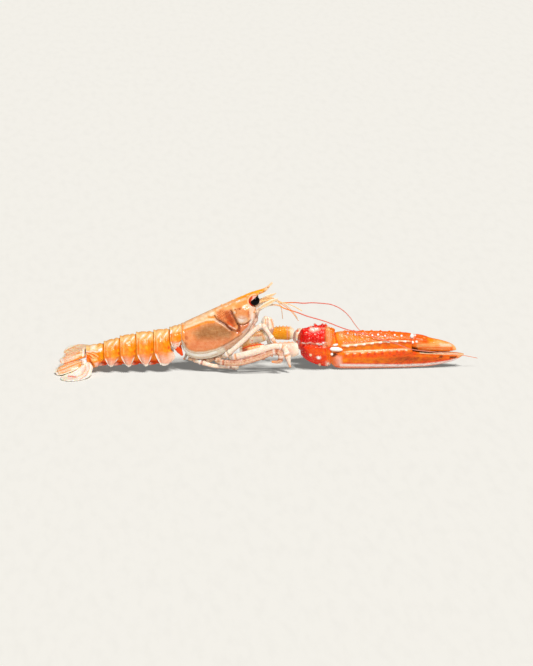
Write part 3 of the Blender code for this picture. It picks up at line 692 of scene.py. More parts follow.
# Marks seen from the side: kind, colour, strength, softness or width in mm, places in mm.
GILL_COVER = ("area", "gill", 1.0, 0.8, GILL_OUTLINE)
RIM_AREA = ("area", "cream", 1.0, 0.8,
            RIM_LINE + ((1.3, 24.1), (-17.3, 10.3), (-29.9, 3.4), (-55.2, 0.0), (-71.2, 10.3)))
GRAIN_PATCH = ("area", "grain", 0.9, 1.4,
               ((-36.6, 48.3), (-32.4, 50.4), (-24.8, 49.1), (-22.3, 43.1), (-19.8, 36.2),
                (-22.3, 31.9), (-28.2, 36.2), (-32.4, 40.5), (-36.6, 44.0)))
RUST_PATCH = ("area", "rust", 0.85, 2.0,
              ((-29.9, 47.4), (-24.8, 48.3), (-21.5, 39.7), (-22.3, 36.2), (-25.7, 37.9),
               (-29.1, 42.2)))
CARAPACE_MARKS = (
    ("area", "orange", 0.45, 3.5,
     ((-20.6, 58.6), (-12.2, 64.7), (1.3, 69.0), (1.3, 64.7), (-8.8, 60.3), (-8.8, 53.4),
      (-17.3, 50.9), (-24.0, 51.7))),
    ("area", "pale_peach", 0.35, 2.5,
     ((-64.4, 37.9), (-50.9, 46.6), (-40.8, 50.9), (-37.5, 46.6), (-45.9, 42.7), (-55.2, 38.8),
      (-62.7, 34.5))),
    GILL_COVER,
    ("area", "salmon", 0.6, 3.0,
     ((-57.7, 23.3), (-42.5, 25.0), (-24.0, 27.6), (-27.4, 21.6), (-38.3, 17.2), (-52.6, 14.7),
      (-59.4, 17.2))),
    ("area", "tan", 0.95, 4.0,
     ((-56.0, 30.2), (-48.4, 35.9), (-39.2, 38.3), (-30.7, 37.1), (-22.3, 31.0), (-26.5, 25.9),
      (-40.8, 24.7), (-52.6, 25.0))),
    ("area", "tan", 0.5, 1.6, ((-48.4, 31.9), (-40.8, 32.3), (-39.2, 29.3), (-45.9, 27.6))),
    ("area", "tan", 0.5, 1.6, ((-31.6, 34.5), (-24.8, 31.9), (-24.8, 28.4), (-30.7, 29.3))),
    ("line", "orange", 0.8, 1.3,
     ((-66.1, 31.9), (-59.4, 34.0), (-50.9, 37.2), (-45.0, 39.4), (-39.2, 39.7))),
    ("line", "pale_peach", 0.65, 1.2,
     ((-64.4, 34.2), (-59.4, 35.9), (-50.9, 39.4), (-45.0, 41.6), (-39.2, 42.1), (-34.9, 39.8),
      (-29.1, 35.8), (-25.7, 32.8))),
    ("line", "orange", 0.7, 1.4, ((-65.3, 36.2), (-65.3, 31.0), (-64.4, 25.9))),
    ("spot", "leg_rust", 0.55, 1.9, ((-61.9, 25.9), (-62.3, 21.1))),
    RIM_AREA,
    ("area", "rim_tan", 0.9, 1.6,
     ((-30.7, 18.5), (-22.3, 24.1), (-16.4, 28.0), (-9.7, 34.1), (-4.6, 41.4), (1.3, 32.8),
      (-13.1, 19.0), (-27.4, 10.3))),
    ("line", "white", 0.65, 1.0,
     ((-63.6, 16.4), (-61.0, 13.4), (-56.8, 11.6), (-50.9, 10.9), (-44.2, 11.7), (-37.5, 14.0))),
    ("line", "tan", 0.45, 0.45,
     ((-64.8, 21.6), (-62.7, 16.4), (-59.4, 13.8), (-53.5, 12.6), (-45.9, 12.9), (-37.5, 15.1),
      (-30.7, 18.1))),
    ("line", "tan", 0.35, 0.5,
     ((-61.0, 11.2), (-56.0, 9.1), (-50.1, 8.4), (-42.5, 9.7), (-35.8, 12.2))),
    ("line", "rust", 0.8, 0.7,
     ((-34.1, 9.9), (-27.4, 14.7), (-24.0, 17.2), (-18.9, 21.6), (-13.9, 25.9), (-8.8, 31.0),
      (-5.5, 35.3))),
    ("line", "rust", 0.5, 0.8,
     ((-32.4, 18.4), (-27.4, 21.2), (-22.3, 24.5), (-16.4, 28.4), (-11.4, 33.1))),
    GRAIN_PATCH,
    RUST_PATCH,
    ("line", "wrist_orange", 0.6, 0.7, ((-27.4, 39.4), (-25.2, 37.6), (-23.4, 36.0))),
    ("area", "knob", 0.8, 0.7,
     ((-27.4, 36.6), (-24.8, 36.4), (-20.6, 34.1), (-20.2, 32.3), (-23.2, 32.8), (-26.5, 34.9))),
    ("line", "blush", 0.8, 0.6, ((-26.5, 36.2), (-24.0, 35.3), (-21.1, 33.6))),
    ("area", "salmon", 0.9, 1.2,
     ((-17.3, 37.5), (-8.8, 39.7), (-6.3, 37.1), (-11.4, 32.8), (-18.9, 28.4), (-20.6, 31.0))),
    ("area", "knob", 0.55, 1.6, KNOB_OUTLINE),
    ("area", "cream", 0.70, 1.8,
     ((-20.1, 43.1), (-17.3, 44.7), (-13.1, 44.3), (-11.0, 42.2), (-12.2, 39.1), (-16.4, 38.3),
      (-19.5, 39.8))),
    ("area", "white", 0.45, 1.2, ((-18.1, 42.6), (-14.7, 43.1), (-14.4, 40.5), (-17.4, 40.0))),
    ("line", "knob", 0.55, 0.7, ((-18.6, 43.6), (-15.9, 42.4), (-13.2, 43.4))),
    ("line", "rust", 0.45, 0.6, ((-20.3, 46.6), (-19.8, 50.3), (-16.4, 51.9))),
    ("line", "rust", 0.6, 0.9, ((-10.0, 48.7), (-9.8, 44.4))),
    ("spot", "cream", 0.85, 1.2, ((-21.7, 47.8),)),
    ("spot", "rust", 0.8, 0.9, ((-21.3, 50.2), (-17.3, 50.4))),
    ("area", "blush", 0.85, 1.3,
     ((-9.0, 50.9), (-5.1, 51.7), (-4.2, 41.4), (-7.2, 35.3), (-9.2, 38.8))),
    ("line", "white", 0.45, 1.1, ((-6.7, 45.7), (-7.2, 40.5), (-10.1, 34.9), (-14.7, 30.6))),
    ("line", "rust", 0.8, 0.6, ((-4.3, 44.0), (-4.0, 40.9))),
    ("line", "rust", 0.8, 0.6, ((-4.3, 39.2), (-5.1, 33.6))),
    # Painted shade: soft rust along the neck and cheek grooves, and dark lines at the bottoms of
    # the grooves.
    ("line", "rust", 0.45, 2.4, NECK_GROOVE[1:]),
    ("line", "rust", 0.45, 2.2, CHEEK_GROOVE),
    ("line", "groove", 0.75, 0.7, NECK_GROOVE[:3]),
    ("line", "groove", 0.85, 1.0, NECK_GROOVE[2:7]),
    ("line", "groove", 0.80, 0.9, CHEEK_GROOVE[:6]),
    ("line", "groove", 0.60, 0.7, KNOB_GROOVE),
    ("line", "orange", 0.8, 1.0, ((-43.4, 43.8), (-38.7, 43.6))),
    # The next two pale patches are painted highlights on the upper back.
    ("area", "pale_peach", 0.8, 0.9, ((-42.5, 47.9), (-38.7, 48.6), (-38.7, 45.7), (-41.7, 44.5))),
    ("area", "pale_peach", 0.7, 0.8, ((-47.1, 45.7), (-44.5, 46.2), (-45.0, 44.0), (-46.7, 43.6))),
    # The next four pale and white flecks are painted highlights on the upper back.
    ("line", "pale_peach", 0.35, 1.2, ((-20.2, 56.4), (-16.4, 58.1), (-12.6, 59.5))),
    ("line", "white", 0.6, 0.4, ((-19.8, 56.7), (-17.3, 57.8))),
    ("line", "pale_peach", 0.7, 0.7, ((-29.1, 53.1), (-24.8, 55.2))),
    ("line", "pale_peach", 0.6, 0.6, ((-36.6, 50.3), (-32.4, 52.2))),
    ("line", "pale_peach", 0.5, 0.7, ((-59.4, 38.8), (-53.5, 41.9))),
    # The next two flecks are painted highlights: on the back and beside the eye.
    ("line", "white", 0.5, 0.4, ((-41.7, 46.9), (-39.5, 47.6))),
    ("line", "pale_peach", 0.8, 0.9, ((-14.7, 52.4), (-11.4, 54.3))),
    ("area", "blush", 0.9, 0.8,
     ((-10.9, 54.5), (-8.0, 53.4), (-3.8, 52.6), (-5.5, 50.3), (-10.1, 51.4))),
    ("line", "amber", 0.95, 1.5,
     ((-18.1, 59.8), (-12.2, 62.4), (-8.8, 64.1), (-3.8, 65.5), (2.9, 66.7))),
)
CARAPACE_HEIGHTS = (
    ("line", "", -1.15, 1.3, NECK_GROOVE[1:]),
    ("line", "", -1.05, 1.15, CHEEK_GROOVE),
    ("line", "", -0.8, 1.0, KNOB_GROOVE),
    ("area", "", 0.5, 1.5, GILL_OUTLINE),
    ("area", "", 1.2, 3.2, KNOB_OUTLINE),
    ("line", "", -0.25, 0.8, RIM_LINE),
    ("line", "", -0.3, 0.7,
     ((-32.4, 18.4), (-27.4, 21.2), (-22.3, 24.5), (-16.4, 28.4), (-11.4, 33.1))),
    ("area", "", 0.5, 1.2,
     ((-27.4, 36.6), (-24.8, 36.4), (-20.6, 34.1), (-20.2, 32.3), (-23.2, 32.8), (-26.5, 34.9))),
)


def carapace_grid():
    """Rows down the length and columns round the arch: y is the half width times the sine of the
    angle, and z falls from the back by the arch's height times 1 - cosine. The last columns
    close the shell underneath, hollowed upwards."""
    arch, under = 240, 36
    length = np.concatenate(
        (
            np.linspace(CARAPACE_REAR, ROOT_START, 196, endpoint=False),
            np.linspace(ROOT_START, ROOT_END, 22, endpoint=False),
            np.linspace(ROOT_END, ROSTRUM_TIP, 46),
        )
    )
    back, rim, half_width = curve(CARAPACE[:, 0], CARAPACE[:, 1:], length).T[:, :, None]
    angle = np.linspace(-WRAP, WRAP, arch)
    tall = (back - rim) / (1 - math.cos(WRAP))
    y = half_width * np.sin(angle)
    z = back - tall * (1 - np.cos(angle))
    s = np.linspace(0, 1, under + 2)[1:-1]
    y_under = half_width * math.sin(WRAP) * (1 - 2 * s)
    hollow = np.minimum(5.0, 0.25 * (back - rim)) * ease(-62, -52, length)[:, None]
    z_under = rim + hollow * np.sin(math.pi * s) ** 0.6
    x = np.broadcast_to(length[:, None], (len(length), arch + under))
    grid = np.stack((x, np.hstack((y, y_under)), np.hstack((z, z_under))), axis=2)
    return grid, np.concatenate((angle, np.full(under, UNDER_ANGLE)))


def pressed_by_orbit(points, side):
    """Points inside the ball round an eye, pushed inwards onto the ball's far wall."""
    centre = EYE_CENTRE * (1, side, 1)
    inwards = STALK_INWARDS * (1, side, 1)
    offset = points - centre
    ahead = offset @ inwards
    left = ORBIT_RADIUS**2 - (offset**2).sum(axis=2)
    travel = np.sqrt(np.maximum(ahead**2 + left, 0)) - ahead
    push = np.where(left > 0, travel * ease(0, 5, left), 0)
    return points + inwards * push[..., None]


def carapace_relief(points, depth):
    """Heights over the plain arch: the marks' own heights, a raised rear hem, a low keel on the
    middle line and one on each side of it, grains between the grooves and a faint unevenness."""
    x = points[..., 0]
    view = side_view(points, wobble=0.15)
    height = depth * embossed(view, CARAPACE_HEIGHTS)
    height += 0.35 * hump(x, -66.0, 0.8) - 0.25 * hump(x, -64.2, 0.5)
    keel = ease(-40, -14, x)
    height += 0.55 * keel * hump(points[..., 1], 0, 0.9)
    height += 0.60 * keel * hump(np.abs(points[..., 1]), 4.4 - 0.05 * (x + 14), 0.8)
    grainy = mark_mask(view, RUST_PATCH)
    height += 0.30 * grainy * np.maximum(ripple(points, 2.1, 0.4), 0)
    return height + 0.07 * ripple(points, 9.0, 1.3)


def carapace_paint(points, angle, c):
    """Peach shell with the marks of its side, painted shade in and along the grooves, painted
    highlights on the upper back, grains between the grooves, a white-lipped orbit, a pale
    rostrum tip and painted shade over the hollow underside."""
    x = points[..., 0]
    view = side_view(points)
    paint = flat_paint(points, c["peach"])
    top = (1 - ease(0.35, 0.9, np.abs(angle))) * np.ones_like(x)
    paint = layered(
        paint, c,
        ("orange", 0.30 * ease(-34, -8, x) + 0.20 * top),
        ("pale_peach", 0.5 * ease(0.1, 0.6, ripple(points, 9.0, 0.3)) * (1 - ease(-30, -12, x))),
    )
    paint = marked(paint, view, CARAPACE_MARKS, c)
    streaks = ease(0.1, 0.7, ripple(points * (0.35, 1, 2.4), 6.0, 2.0))
    paint = layered(
        paint, c,
        ("peach", 0.22 * streaks * mark_mask(view, GILL_COVER)),
        ("tan", 0.25 * streaks * mark_mask(view, RIM_AREA)),
    )
    grain = ease(0.05, 0.4, ripple(points, 1.7, 0.9)) * mark_mask(view, GRAIN_PATCH)
    paint = tinted(paint, c["groove"], 0.75 * grain)
    side = np.where(points[..., 1:2] < 0, (1, -1, 1), (1, 1, 1))
    eye = np.linalg.norm(points - EYE_CENTRE * side, axis=2)
    paint = layered(
        paint, c,
        ("wrist_orange", 0.8 * (1 - ease(4.2, 5.2, eye))),
        ("pale_peach", 0.45 * hump(eye, 5.9, 0.5)),
        ("pale_peach", 0.8 * ease(1.0, 8.0, x)),
        ("pale_peach", 0.7 * (1 - ease(-66.9, -66.2, x))),
    )
    # The underside between the rims, behind the head, is painted near black: painted shade in the
    # hollow.
    under = np.broadcast_to(angle == UNDER_ANGLE, x.shape)
    return tinted(paint, c["dark"], np.where(under & (x < -4.5), 0.9, 0.0))


class LANGOUSTINE_OT_carapace(bpy.types.Operator):
    """Make the head and thorax shell with its grooves, gill covers and toothed rostrum"""

    bl_idname = "langoustine.carapace"
    bl_label = "Carapace"

    def execute(self, context):
        c = colours()
        plain, angle = carapace_grid()
        points = raised(plain, carapace_relief(plain, sizes().groove_depth / MM))
        for side, _ in SIDES:
            points = pressed_by_orbit(points, side)
        parts = [(points, carapace_paint(plain, angle, c))]
        teeth = []
        for side, _ in SIDES:
            for x, z, y in ROSTRUM_TEETH:
                teeth.append(((x, side * y, z), (x + 2.2, side * (y + 0.9), z + 1.4), 0.6))
            for x, z, y in BACK_TEETH:
                teeth.append(((x, side * y, z - 0.2), (x + 1.9, side * y, z + 1.5), 0.8))
            teeth.append(((-6.4, side * 9.9, 50.5), (-3.4, side * 11.2, 51.3), 0.9))
        for x, z in MIDDLE_TEETH:
            teeth.append(((x, 0, z), (x + 1.8, 0, z + 1.4), 0.8))
        for foot, tip, radius in teeth:
            thorn = spine(foot, tip, radius)
            parts.append((thorn, coloured(thorn, c, "orange", ("pale_peach", share_grid(thorn)))))
        add_piece("carapace_shell", parts, shell_finish("wet_shell"), "shell_back", "carapace")
        return {"FINISHED"}


# ---------------------------------------------------------------- eyes

class LANGOUSTINE_OT_eyes(bpy.types.Operator):
    """Make the black eyes and their red stalks"""

    bl_idname = "langoustine.eyes"
    bl_label = "Eyes"

    def execute(self, context):
        c = colours()
        for side, word in SIDES:
            centre = EYE_CENTRE * (1, side, 1)
            inwards = STALK_INWARDS * (1, side, 1)
            ball = blob(centre, (EYE_RADIUS * 1.02, EYE_RADIUS, EYE_RADIUS), 40, 60)
            towards = (ball - centre) / EYE_RADIUS
            cap = towards @ np.array((-0.62, -0.10 * side, 0.77))
            rear = towards @ np.array((-0.90, 0.05 * side, 0.42))
            paint = flat_paint(ball, c["black"])
            specks = ease(-0.05, 0.25, ripple(ball, 1.7, 0.6))
            paint = layered(
                paint, c,
                ("blush", ease(0.44, 0.56, cap)),
                ("wrist_red", 0.95 * specks * ease(0.46, 0.58, cap)),
                ("wrist_orange", ease(0.72, 0.86, rear)),
            )
            add_piece(f"eye_ball_{word}", [(ball, paint)], eye_finish(), "eye", f"eye_{word}")
            stations = []
            for distance, radius in EYE_STALK:
                stations.append((*(centre + inwards * distance), radius, radius))
            stalk, _, _ = tube(stations, 20, 30, across=UPWARDS, mirror=False)
            paint = coloured(stalk, c, "wrist_red",
                             ("pale_peach", ease(0.45, 0.9, share_grid(stalk))))
            add_piece(f"eye_stalk_{word}", [(stalk, paint)], shell_finish("wet_shell"),
                      "shell_red", f"eyestalk_{word}")
        return {"FINISHED"}


# ---------------------------------------------------------------- tail

# Each ring: x of its front and rear edge, z of the back there, half width there, x that the side
# plate's edges bend towards, x and z of its tip, half the tip's length.
TAIL_RINGS = (
    ((-66.5, -76.4), (38.6, 35.3), (10.6, 12.0), (-67.8, -76.0), (-71.6, 20.6), 2.6),
    ((-76.6, -90.0), (35.0, 33.2), (12.4, 13.4), (-67.6, -88.6), (-81.4, 6.3), 3.6),
    ((-90.4, -104.6), (33.0, 31.6), (12.8, 13.4), (-92.4, -103.6), (-96.8, 6.1), 2.0),
    ((-105.0, -118.1), (31.3, 28.5), (12.4, 12.8), (-106.6, -117.4), (-111.2, 5.7), 2.0),
    ((-118.5, -131.6), (28.2, 24.0), (11.6, 12.0), (-120.0, -130.8), (-126.0, 5.8), 2.0),
    ((-132.0, -146.6), (23.6, 20.5), (10.8, 9.6), (-133.0, -146.4), (-140.2, 5.4), 3.2),
)
# Columns of a ring: up one side plate, over the back, along one lip and under the belly.
PLATE_COLUMNS, BACK_COLUMNS, LIP_COLUMNS, BELLY_COLUMNS = 51, 121, 6, 25
RING_ROWS = 46
LAST_RING = len(TAIL_RINGS)
PLATE_TOP = 0.46
PLATE_TIP_WIDTH = 0.93
PLATE_ROOT = 2.8
BELLY_HEIGHT = 9.6
# The share of a plate's edge at which the belly joins it.
BELLY_LEVEL = 0.36


def ring_grid(shape, number):
    """One tail ring. Rows go from the front edge to the rear edge. Columns go up the near side
    plate, over the back as half an ellipse, down the far plate and back under the belly. A
    plate's edge is a quadratic curve down to its tip, and its corners are rounded."""
    (front, rear), backs, widths, bends, (tip_x, tip_z), tip_half = shape
    f = np.linspace(0, 1, RING_ROWS)[:, None]
    x = front + (rear - front) * f
    tuck = 0.75 * (1 - ease(0, 0.22, f)) * (number > 1)
    swell = 0.55 * np.sin(math.pi * np.minimum(f / 0.9, 1) * 0.55)
    back = backs[0] + (backs[1] - backs[0]) * f + swell - tuck
    half = widths[0] + (widths[1] - widths[0]) * f + swell - tuck
    bend = bends[0] + (bends[1] - bends[0]) * f
    tip = tip_x + tip_half - 2 * tip_half * f
    top = tip_z + (back - tip_z) * PLATE_TOP
    level = np.linspace(0, 1, PLATE_COLUMNS + 1)[None, :-1]
    foot = tip_z + 1.5 * (2 * f - 1) ** 2

    def edge_x(share):
        """The quadratic curve of the plate's edge, from the tip at 0 to the back at 1."""
        return share**2 * x + 2 * share * (1 - share) * bend + (1 - share) ** 2 * tip

    plate_x = edge_x(level)
    plate_y = half * (PLATE_TIP_WIDTH + (1 - PLATE_TIP_WIDTH) * level)
    plate_z = foot + (top - foot) * level
    angle = np.linspace(-math.pi / 2, math.pi / 2, BACK_COLUMNS)[None]
    arch_y = half * np.sin(angle)
    arch_z = top + (back - top) * np.cos(angle)
    arch_x = x * np.ones_like(angle)
    belly = max(BELLY_HEIGHT, tip_z + 2)
    belly_x = np.minimum(edge_x(BELLY_LEVEL), front)
    s = np.linspace(0, 1, BELLY_COLUMNS)[None]
    under_y = (half - PLATE_ROOT) * (1 - 2 * s)
    droop = 3.3 if 1 < number < LAST_RING else 1.5
    under_z = belly - droop * np.sin(math.pi * np.clip(s, 0.001, 0.999)) ** 0.4 + 0 * f
    under_x = belly_x * np.ones_like(s)
    lip = np.linspace(0, 1, LIP_COLUMNS + 2)[None, 1:-1]
    tip_y = plate_y[:, :1]
    lip_y = tip_y + (half - PLATE_ROOT - tip_y) * lip
    lip_z = foot + (belly - foot) * lip ** 1.6
    lip_x = tip + (belly_x - tip) * lip
    grid = np.stack(
        (
            np.hstack((plate_x, arch_x, plate_x[:, ::-1], lip_x, under_x, lip_x[:, ::-1])),
            np.hstack((-plate_y, arch_y, plate_y[:, ::-1], lip_y, under_y, -lip_y[:, ::-1])),
            np.hstack((plate_z, arch_z, plate_z[:, ::-1], lip_z, under_z, lip_z[:, ::-1])),
        ),
        axis=2,
    )
    below = 2 * LIP_COLUMNS + BELLY_COLUMNS
    over = np.concatenate(
        (level[0], np.ones(BACK_COLUMNS), level[0, ::-1], np.full(below, -1.0))
    )
    beside = np.full(PLATE_COLUMNS, math.pi / 2)
    turn = np.concatenate((beside, np.abs(angle[0]), beside, np.full(below, 2.0)))
    return grid, f, over[None], turn[None]


# Marks of the first and the last ring, and the ridges of the last one, seen from the side.
RING_MARKS = {
    1: (
        ("area", "tail_light", 0.6, 0.8,
         ((-77.0, 34.5), (-64.4, 37.1), (-64.4, 31.9), (-77.0, 29.3))),
        ("line", "white", 0.9, 0.6, ((-75.4, 29.7), (-74.4, 32.2))),
        ("line", "white", 0.8, 0.5, ((-70.1, 31.9), (-69.1, 33.6))),
        ("line", "plate_edge", 0.7, 0.5, ((-75.4, 17.8), (-71.2, 19.5), (-66.1, 20.2))),
        ("line", "plate_edge", 0.6, 0.5, ((-74.5, 19.8), (-70.3, 21.6), (-66.1, 21.9))),
        ("line", "tan", 0.7, 0.7, ((-76.2, 18.1), (-73.3, 15.0), (-70.3, 12.2))),
        ("area", "wrist_orange", 0.95, 0.8,
         ((-68.1, 15.5), (-63.6, 15.2), (-63.9, 8.3), (-67.4, 9.0))),
    ),
    LAST_RING: (
        ("area", "tail_light", 0.60, 2.4,
         ((-148.6, 21.6), (-130.9, 23.3), (-130.9, 15.2), (-141.9, 14.7), (-148.6, 15.5))),
        ("area", "tail_amber", 0.7, 1.4,
         ((-137.7, 21.6), (-130.1, 22.4), (-130.1, 18.1), (-136.8, 18.1))),
        # The next two white patches are painted highlights on the last ring's back.
        ("area", "white", 0.55, 1.4,
         ((-142.3, 19.0), (-138.9, 19.3), (-138.5, 16.0), (-141.9, 15.5))),
        ("area", "white", 0.95, 0.6,
         ((-136.0, 16.0), (-132.6, 17.4), (-132.3, 15.5), (-135.7, 14.7))),
        ("line", "plate_edge", 0.65, 0.9,
         ((-146.9, 14.3), (-144.4, 13.6), (-141.0, 14.5), (-137.7, 13.8), (-134.3, 14.7))),
        ("area", "tail_orange", 0.85, 2.0,
         ((-149.5, 13.1), (-130.1, 13.4), (-130.1, 1.7), (-138.5, -0.9), (-146.9, 0.9),
          (-149.5, 8.6))),
        ("line", "tail_light", 0.8, 0.5, ((-146.9, 12.6), (-142.7, 11.4), (-139.4, 8.8))),
        ("line", "belly_red", 0.6, 0.5, ((-146.9, 13.4), (-141.9, 12.4), (-137.7, 9.7))),
        ("line", "tail_light", 0.6, 0.5, ((-143.6, 13.3), (-139.4, 12.1), (-136.0, 9.8))),
        ("line", "belly_red", 0.5, 0.5, ((-146.9, 11.6), (-143.6, 10.3), (-141.0, 8.1))),
        ("area", "tail_light", 0.6, 1.4,
         ((-141.9, 9.5), (-136.8, 9.5), (-136.8, 6.9), (-141.9, 6.0))),
        ("area", "blush", 0.9, 0.8, ((-139.4, 4.7), (-136.0, 5.7), (-135.1, 2.6), (-138.1, 1.4))),
        ("spot", "tail_amber", 0.9, 1.2, ((-132.6, 6.9),)),
        ("area", "belly_red", 0.75, 1.2,
         ((-136.0, 4.8), (-128.4, 6.0), (-128.4, -1.7), (-137.7, -1.7))),
        ("line", "fan_rib", 0.8, 0.6, ((-146.9, 21.2), (-148.1, 18.1), (-148.3, 13.8))),
        ("line", "belly_red", 0.7, 0.7,
         ((-149.0, 9.8), (-145.3, 9.7), (-142.7, 7.8), (-141.5, 3.4))),
    ),
}
LAST_RING_RIDGES = (
    ("line", "", 0.4, 0.9, ((-147.8, 14.5), (-141.9, 13.8), (-136.8, 13.8), (-130.9, 14.1))),
    ("line", "", 0.35, 0.6, ((-146.9, 12.6), (-142.7, 11.4), (-139.4, 8.8))),
    ("line", "", -0.35, 0.6, ((-146.9, 11.4), (-143.6, 10.2), (-141.0, 7.9))),
    ("line", "", 0.35, 0.6, ((-143.6, 13.3), (-139.4, 12.1), (-136.0, 9.8))),
    ("area", "", 0.6, 1.5, ((-141.0, 6.0), (-135.1, 6.9), (-134.3, 1.7), (-139.4, 0.9))),
)
# The small red lobe of the first ring that tucks behind the carapace: a leaf, tip downwards.
FIRST_RING_LOBE = (
    (-75.2, 9.6, 23.4, 0.6, 0.9),
    (-72.2, 10.2, 21.6, 0.9, 1.7),
    (-68.8, 10.2, 18.4, 0.9, 2.2),
    (-66.2, 9.8, 14.2, 0.5, 0.8),
)


def ring_core(shape, number, c):
    """The flesh inside a ring that shows between the side plates: an upright oval from the
    front edge to the rear edge, orange above and red below."""
    (front, rear), backs, widths, *_ = shape
    bottom = 6.2 if number > 1 else 21.0
    stations = []
    for share in (-0.05, 0.5, 1.05 if number < LAST_RING else 0.96):
        top = backs[0] + (backs[1] - backs[0]) * share - 1.0
        half = widths[0] + (widths[1] - widths[0]) * share - 1.3
        stations.append((front + (rear - front) * share, 0, (top + bottom) / 2, half,
                         (top - bottom) / 2))
    points, _, _ = tube(stations, 30, 60, FAR)
    paint = coloured(points, c, "tail_orange", ("belly_red", 1 - ease(9.0, 12.5, points[..., 2])))
    return points, paint


def ring_relief(points, f, over, turn, number, lip):
    """A raised rear lip, a cross groove over the back that fades down the sides, and on the side
    plates a rounded middle inside a thin margin."""
    arch = (over >= 0) * np.ones_like(f)
    upper = 1 - ease(0.7, 1.2, turn)
    height = lip * ease(0.86, 0.96, f) * arch
    waver = 0.05 * ripple(points, 7.0, 2.0 * number)
    height = height - 0.45 * hump(f + waver, 0.36, 0.05) * arch * upper
    height = height + 0.30 * (hump(f, 0.18, 0.10) + hump(f + waver, 0.62, 0.14)) * arch
    height = height - 0.30 * hump(f, 0.84, 0.03) * arch
    plate = ease(0.0, 0.25, over) * (1 - ease(0.75, 1.0, over)) * (over >= 0)
    height = height + 0.9 * plate * hump(f, 0.5, 0.26)
    height = height - 0.35 * plate * hump(np.abs(f - 0.5), 0.36, 0.05)
    height = height + 0.5 * hump(over, 0.90, 0.07) * hump(f, 0.12, 0.10) * (over < 1)
    if number == LAST_RING:
        height = height + embossed(side_view(points, wobble=0.1), LAST_RING_RIDGES) * arch
    return height + 0.10 * ripple(points, 5.0, number) * arch


def ring_paint(points, f, over, turn, number, c):
    """Deep orange sides below two painted highlights on the back, light edges, side plates that
    turn from orange to pink inside pale margins, a rusty hinge spot and a red belly."""
    ones = np.ones(points.shape[:2])
    f, over, turn = f * ones, over * ones, turn * ones
    wobble = 0.04 * ripple(points, 3.0, 1.1 * number)
    paint = flat_paint(points, c["tail_orange"])
    flesh = ripple(points * (1, 1, 0.7), 7.5, 0.7 * number)
    paint = layered(
        paint, c,
        ("tail_amber", 0.75 * ease(-0.1, 0.4, flesh)),
        ("belly_red", 0.22 * ease(0.1, 0.6, -flesh)),
        ("tail_light", 0.85 * (1 - ease(0.50, 1.05, turn + wobble))),
        ("tail_amber", 0.45 * (1 - ease(0.1, 0.3, turn))),
    )
    slant = 0.62 * (0.5 - turn) + 0.05 * ripple(points, 6.0, 2.3 * number)
    # Two painted highlights on each ring's back, slanted, one in front of the cross groove and one
    # behind it.
    painted_highlight = hump(f + slant, 0.17, 0.05) + hump(f + slant, 0.60, 0.07)
    place = 0.58 + wobble + 0.06 * np.sin(2.6 * number + 5 * f)
    paint = layered(
        paint, c,
        ("white", 0.90 * painted_highlight * hump(turn, place, 0.19)),
        ("tail_orange", 0.6 * hump(f + slant, 0.38, 0.05) * band(0.2, 0.8, 0.1, turn)),
        ("tail_light", (0.75 - 0.45 * ease(0.6, 1.1, turn)) * ease(0.93, 0.98, f + wobble * 0.5)),
        ("tail_light", 0.35 * hump(f + wobble, 0.80, 0.05) * ease(0.5, 0.8, turn) * (over >= 1)),
        ("belly_red", 0.50 * hump(f, 0.90, 0.03) * ease(0.4, 0.8, turn)),
        ("belly_red", 0.30 * (1 - ease(0.0, 0.06, f)) * ease(0.4, 0.8, turn)),
    )
    plate = (1 - ease(0.70, 1.02, over)) * (over >= 0)
    rosy = 1.0 if number < LAST_RING else 0.3
    paint = tinted(paint, c["plate_salmon"], 0.8 * rosy * plate)
    lower = (1 - ease(0.35, 0.75, over)) * (over >= 0)
    paint = tinted(paint, c["plate_pink"], 0.75 * rosy * lower)
    lilac = hump((f - 0.66 + wobble) / 0.20, 0, 1) * hump((over - 0.45) / 0.34, 0, 1) * (over >= 0)
    paint = layered(
        paint, c,
        ("plate_pink", 0.95 * rosy * lilac),
        ("claw_strip", 0.45 * rosy * lilac * ease(0.0, 0.5, ripple(points, 2.6, 0.8))),
    )
    rear = ease(0.88, 0.96, f + wobble) * (1 - ease(0.72, 0.92, over))
    front = (1 - ease(0.04, 0.20, f)) * (1 - ease(0.45, 0.75, over))
    tip = 1 - ease(0.04, 0.26, over + wobble)
    margin = np.maximum(np.maximum(rear, front), tip) * (over >= 0)
    paint = tinted(paint, c["plate_edge"], (0.95 if number < LAST_RING else 0.5) * margin)
    hinge = np.hypot((f - 0.10) / 0.07, (turn - 1.42) / 0.12)
    paint = tinted(paint, c["belly_red"],
                   0.85 * (1 - ease(0.5, 1.2, hinge)) * (over >= 0.9) * (1 < number < LAST_RING))
    if number == 2:
        clear = ease(-80.0, -75.4, points[..., 0]) * (1 - ease(0.75, 0.95, over)) * (over >= 0)
        paint = tinted(paint, c["blush"], 0.85 * clear)
    if number in RING_MARKS:
        paint = marked(paint, side_view(points, wobble=0.2), RING_MARKS[number], c)
    return tinted(paint, c["belly_red"], (over < 0) * 1.0)


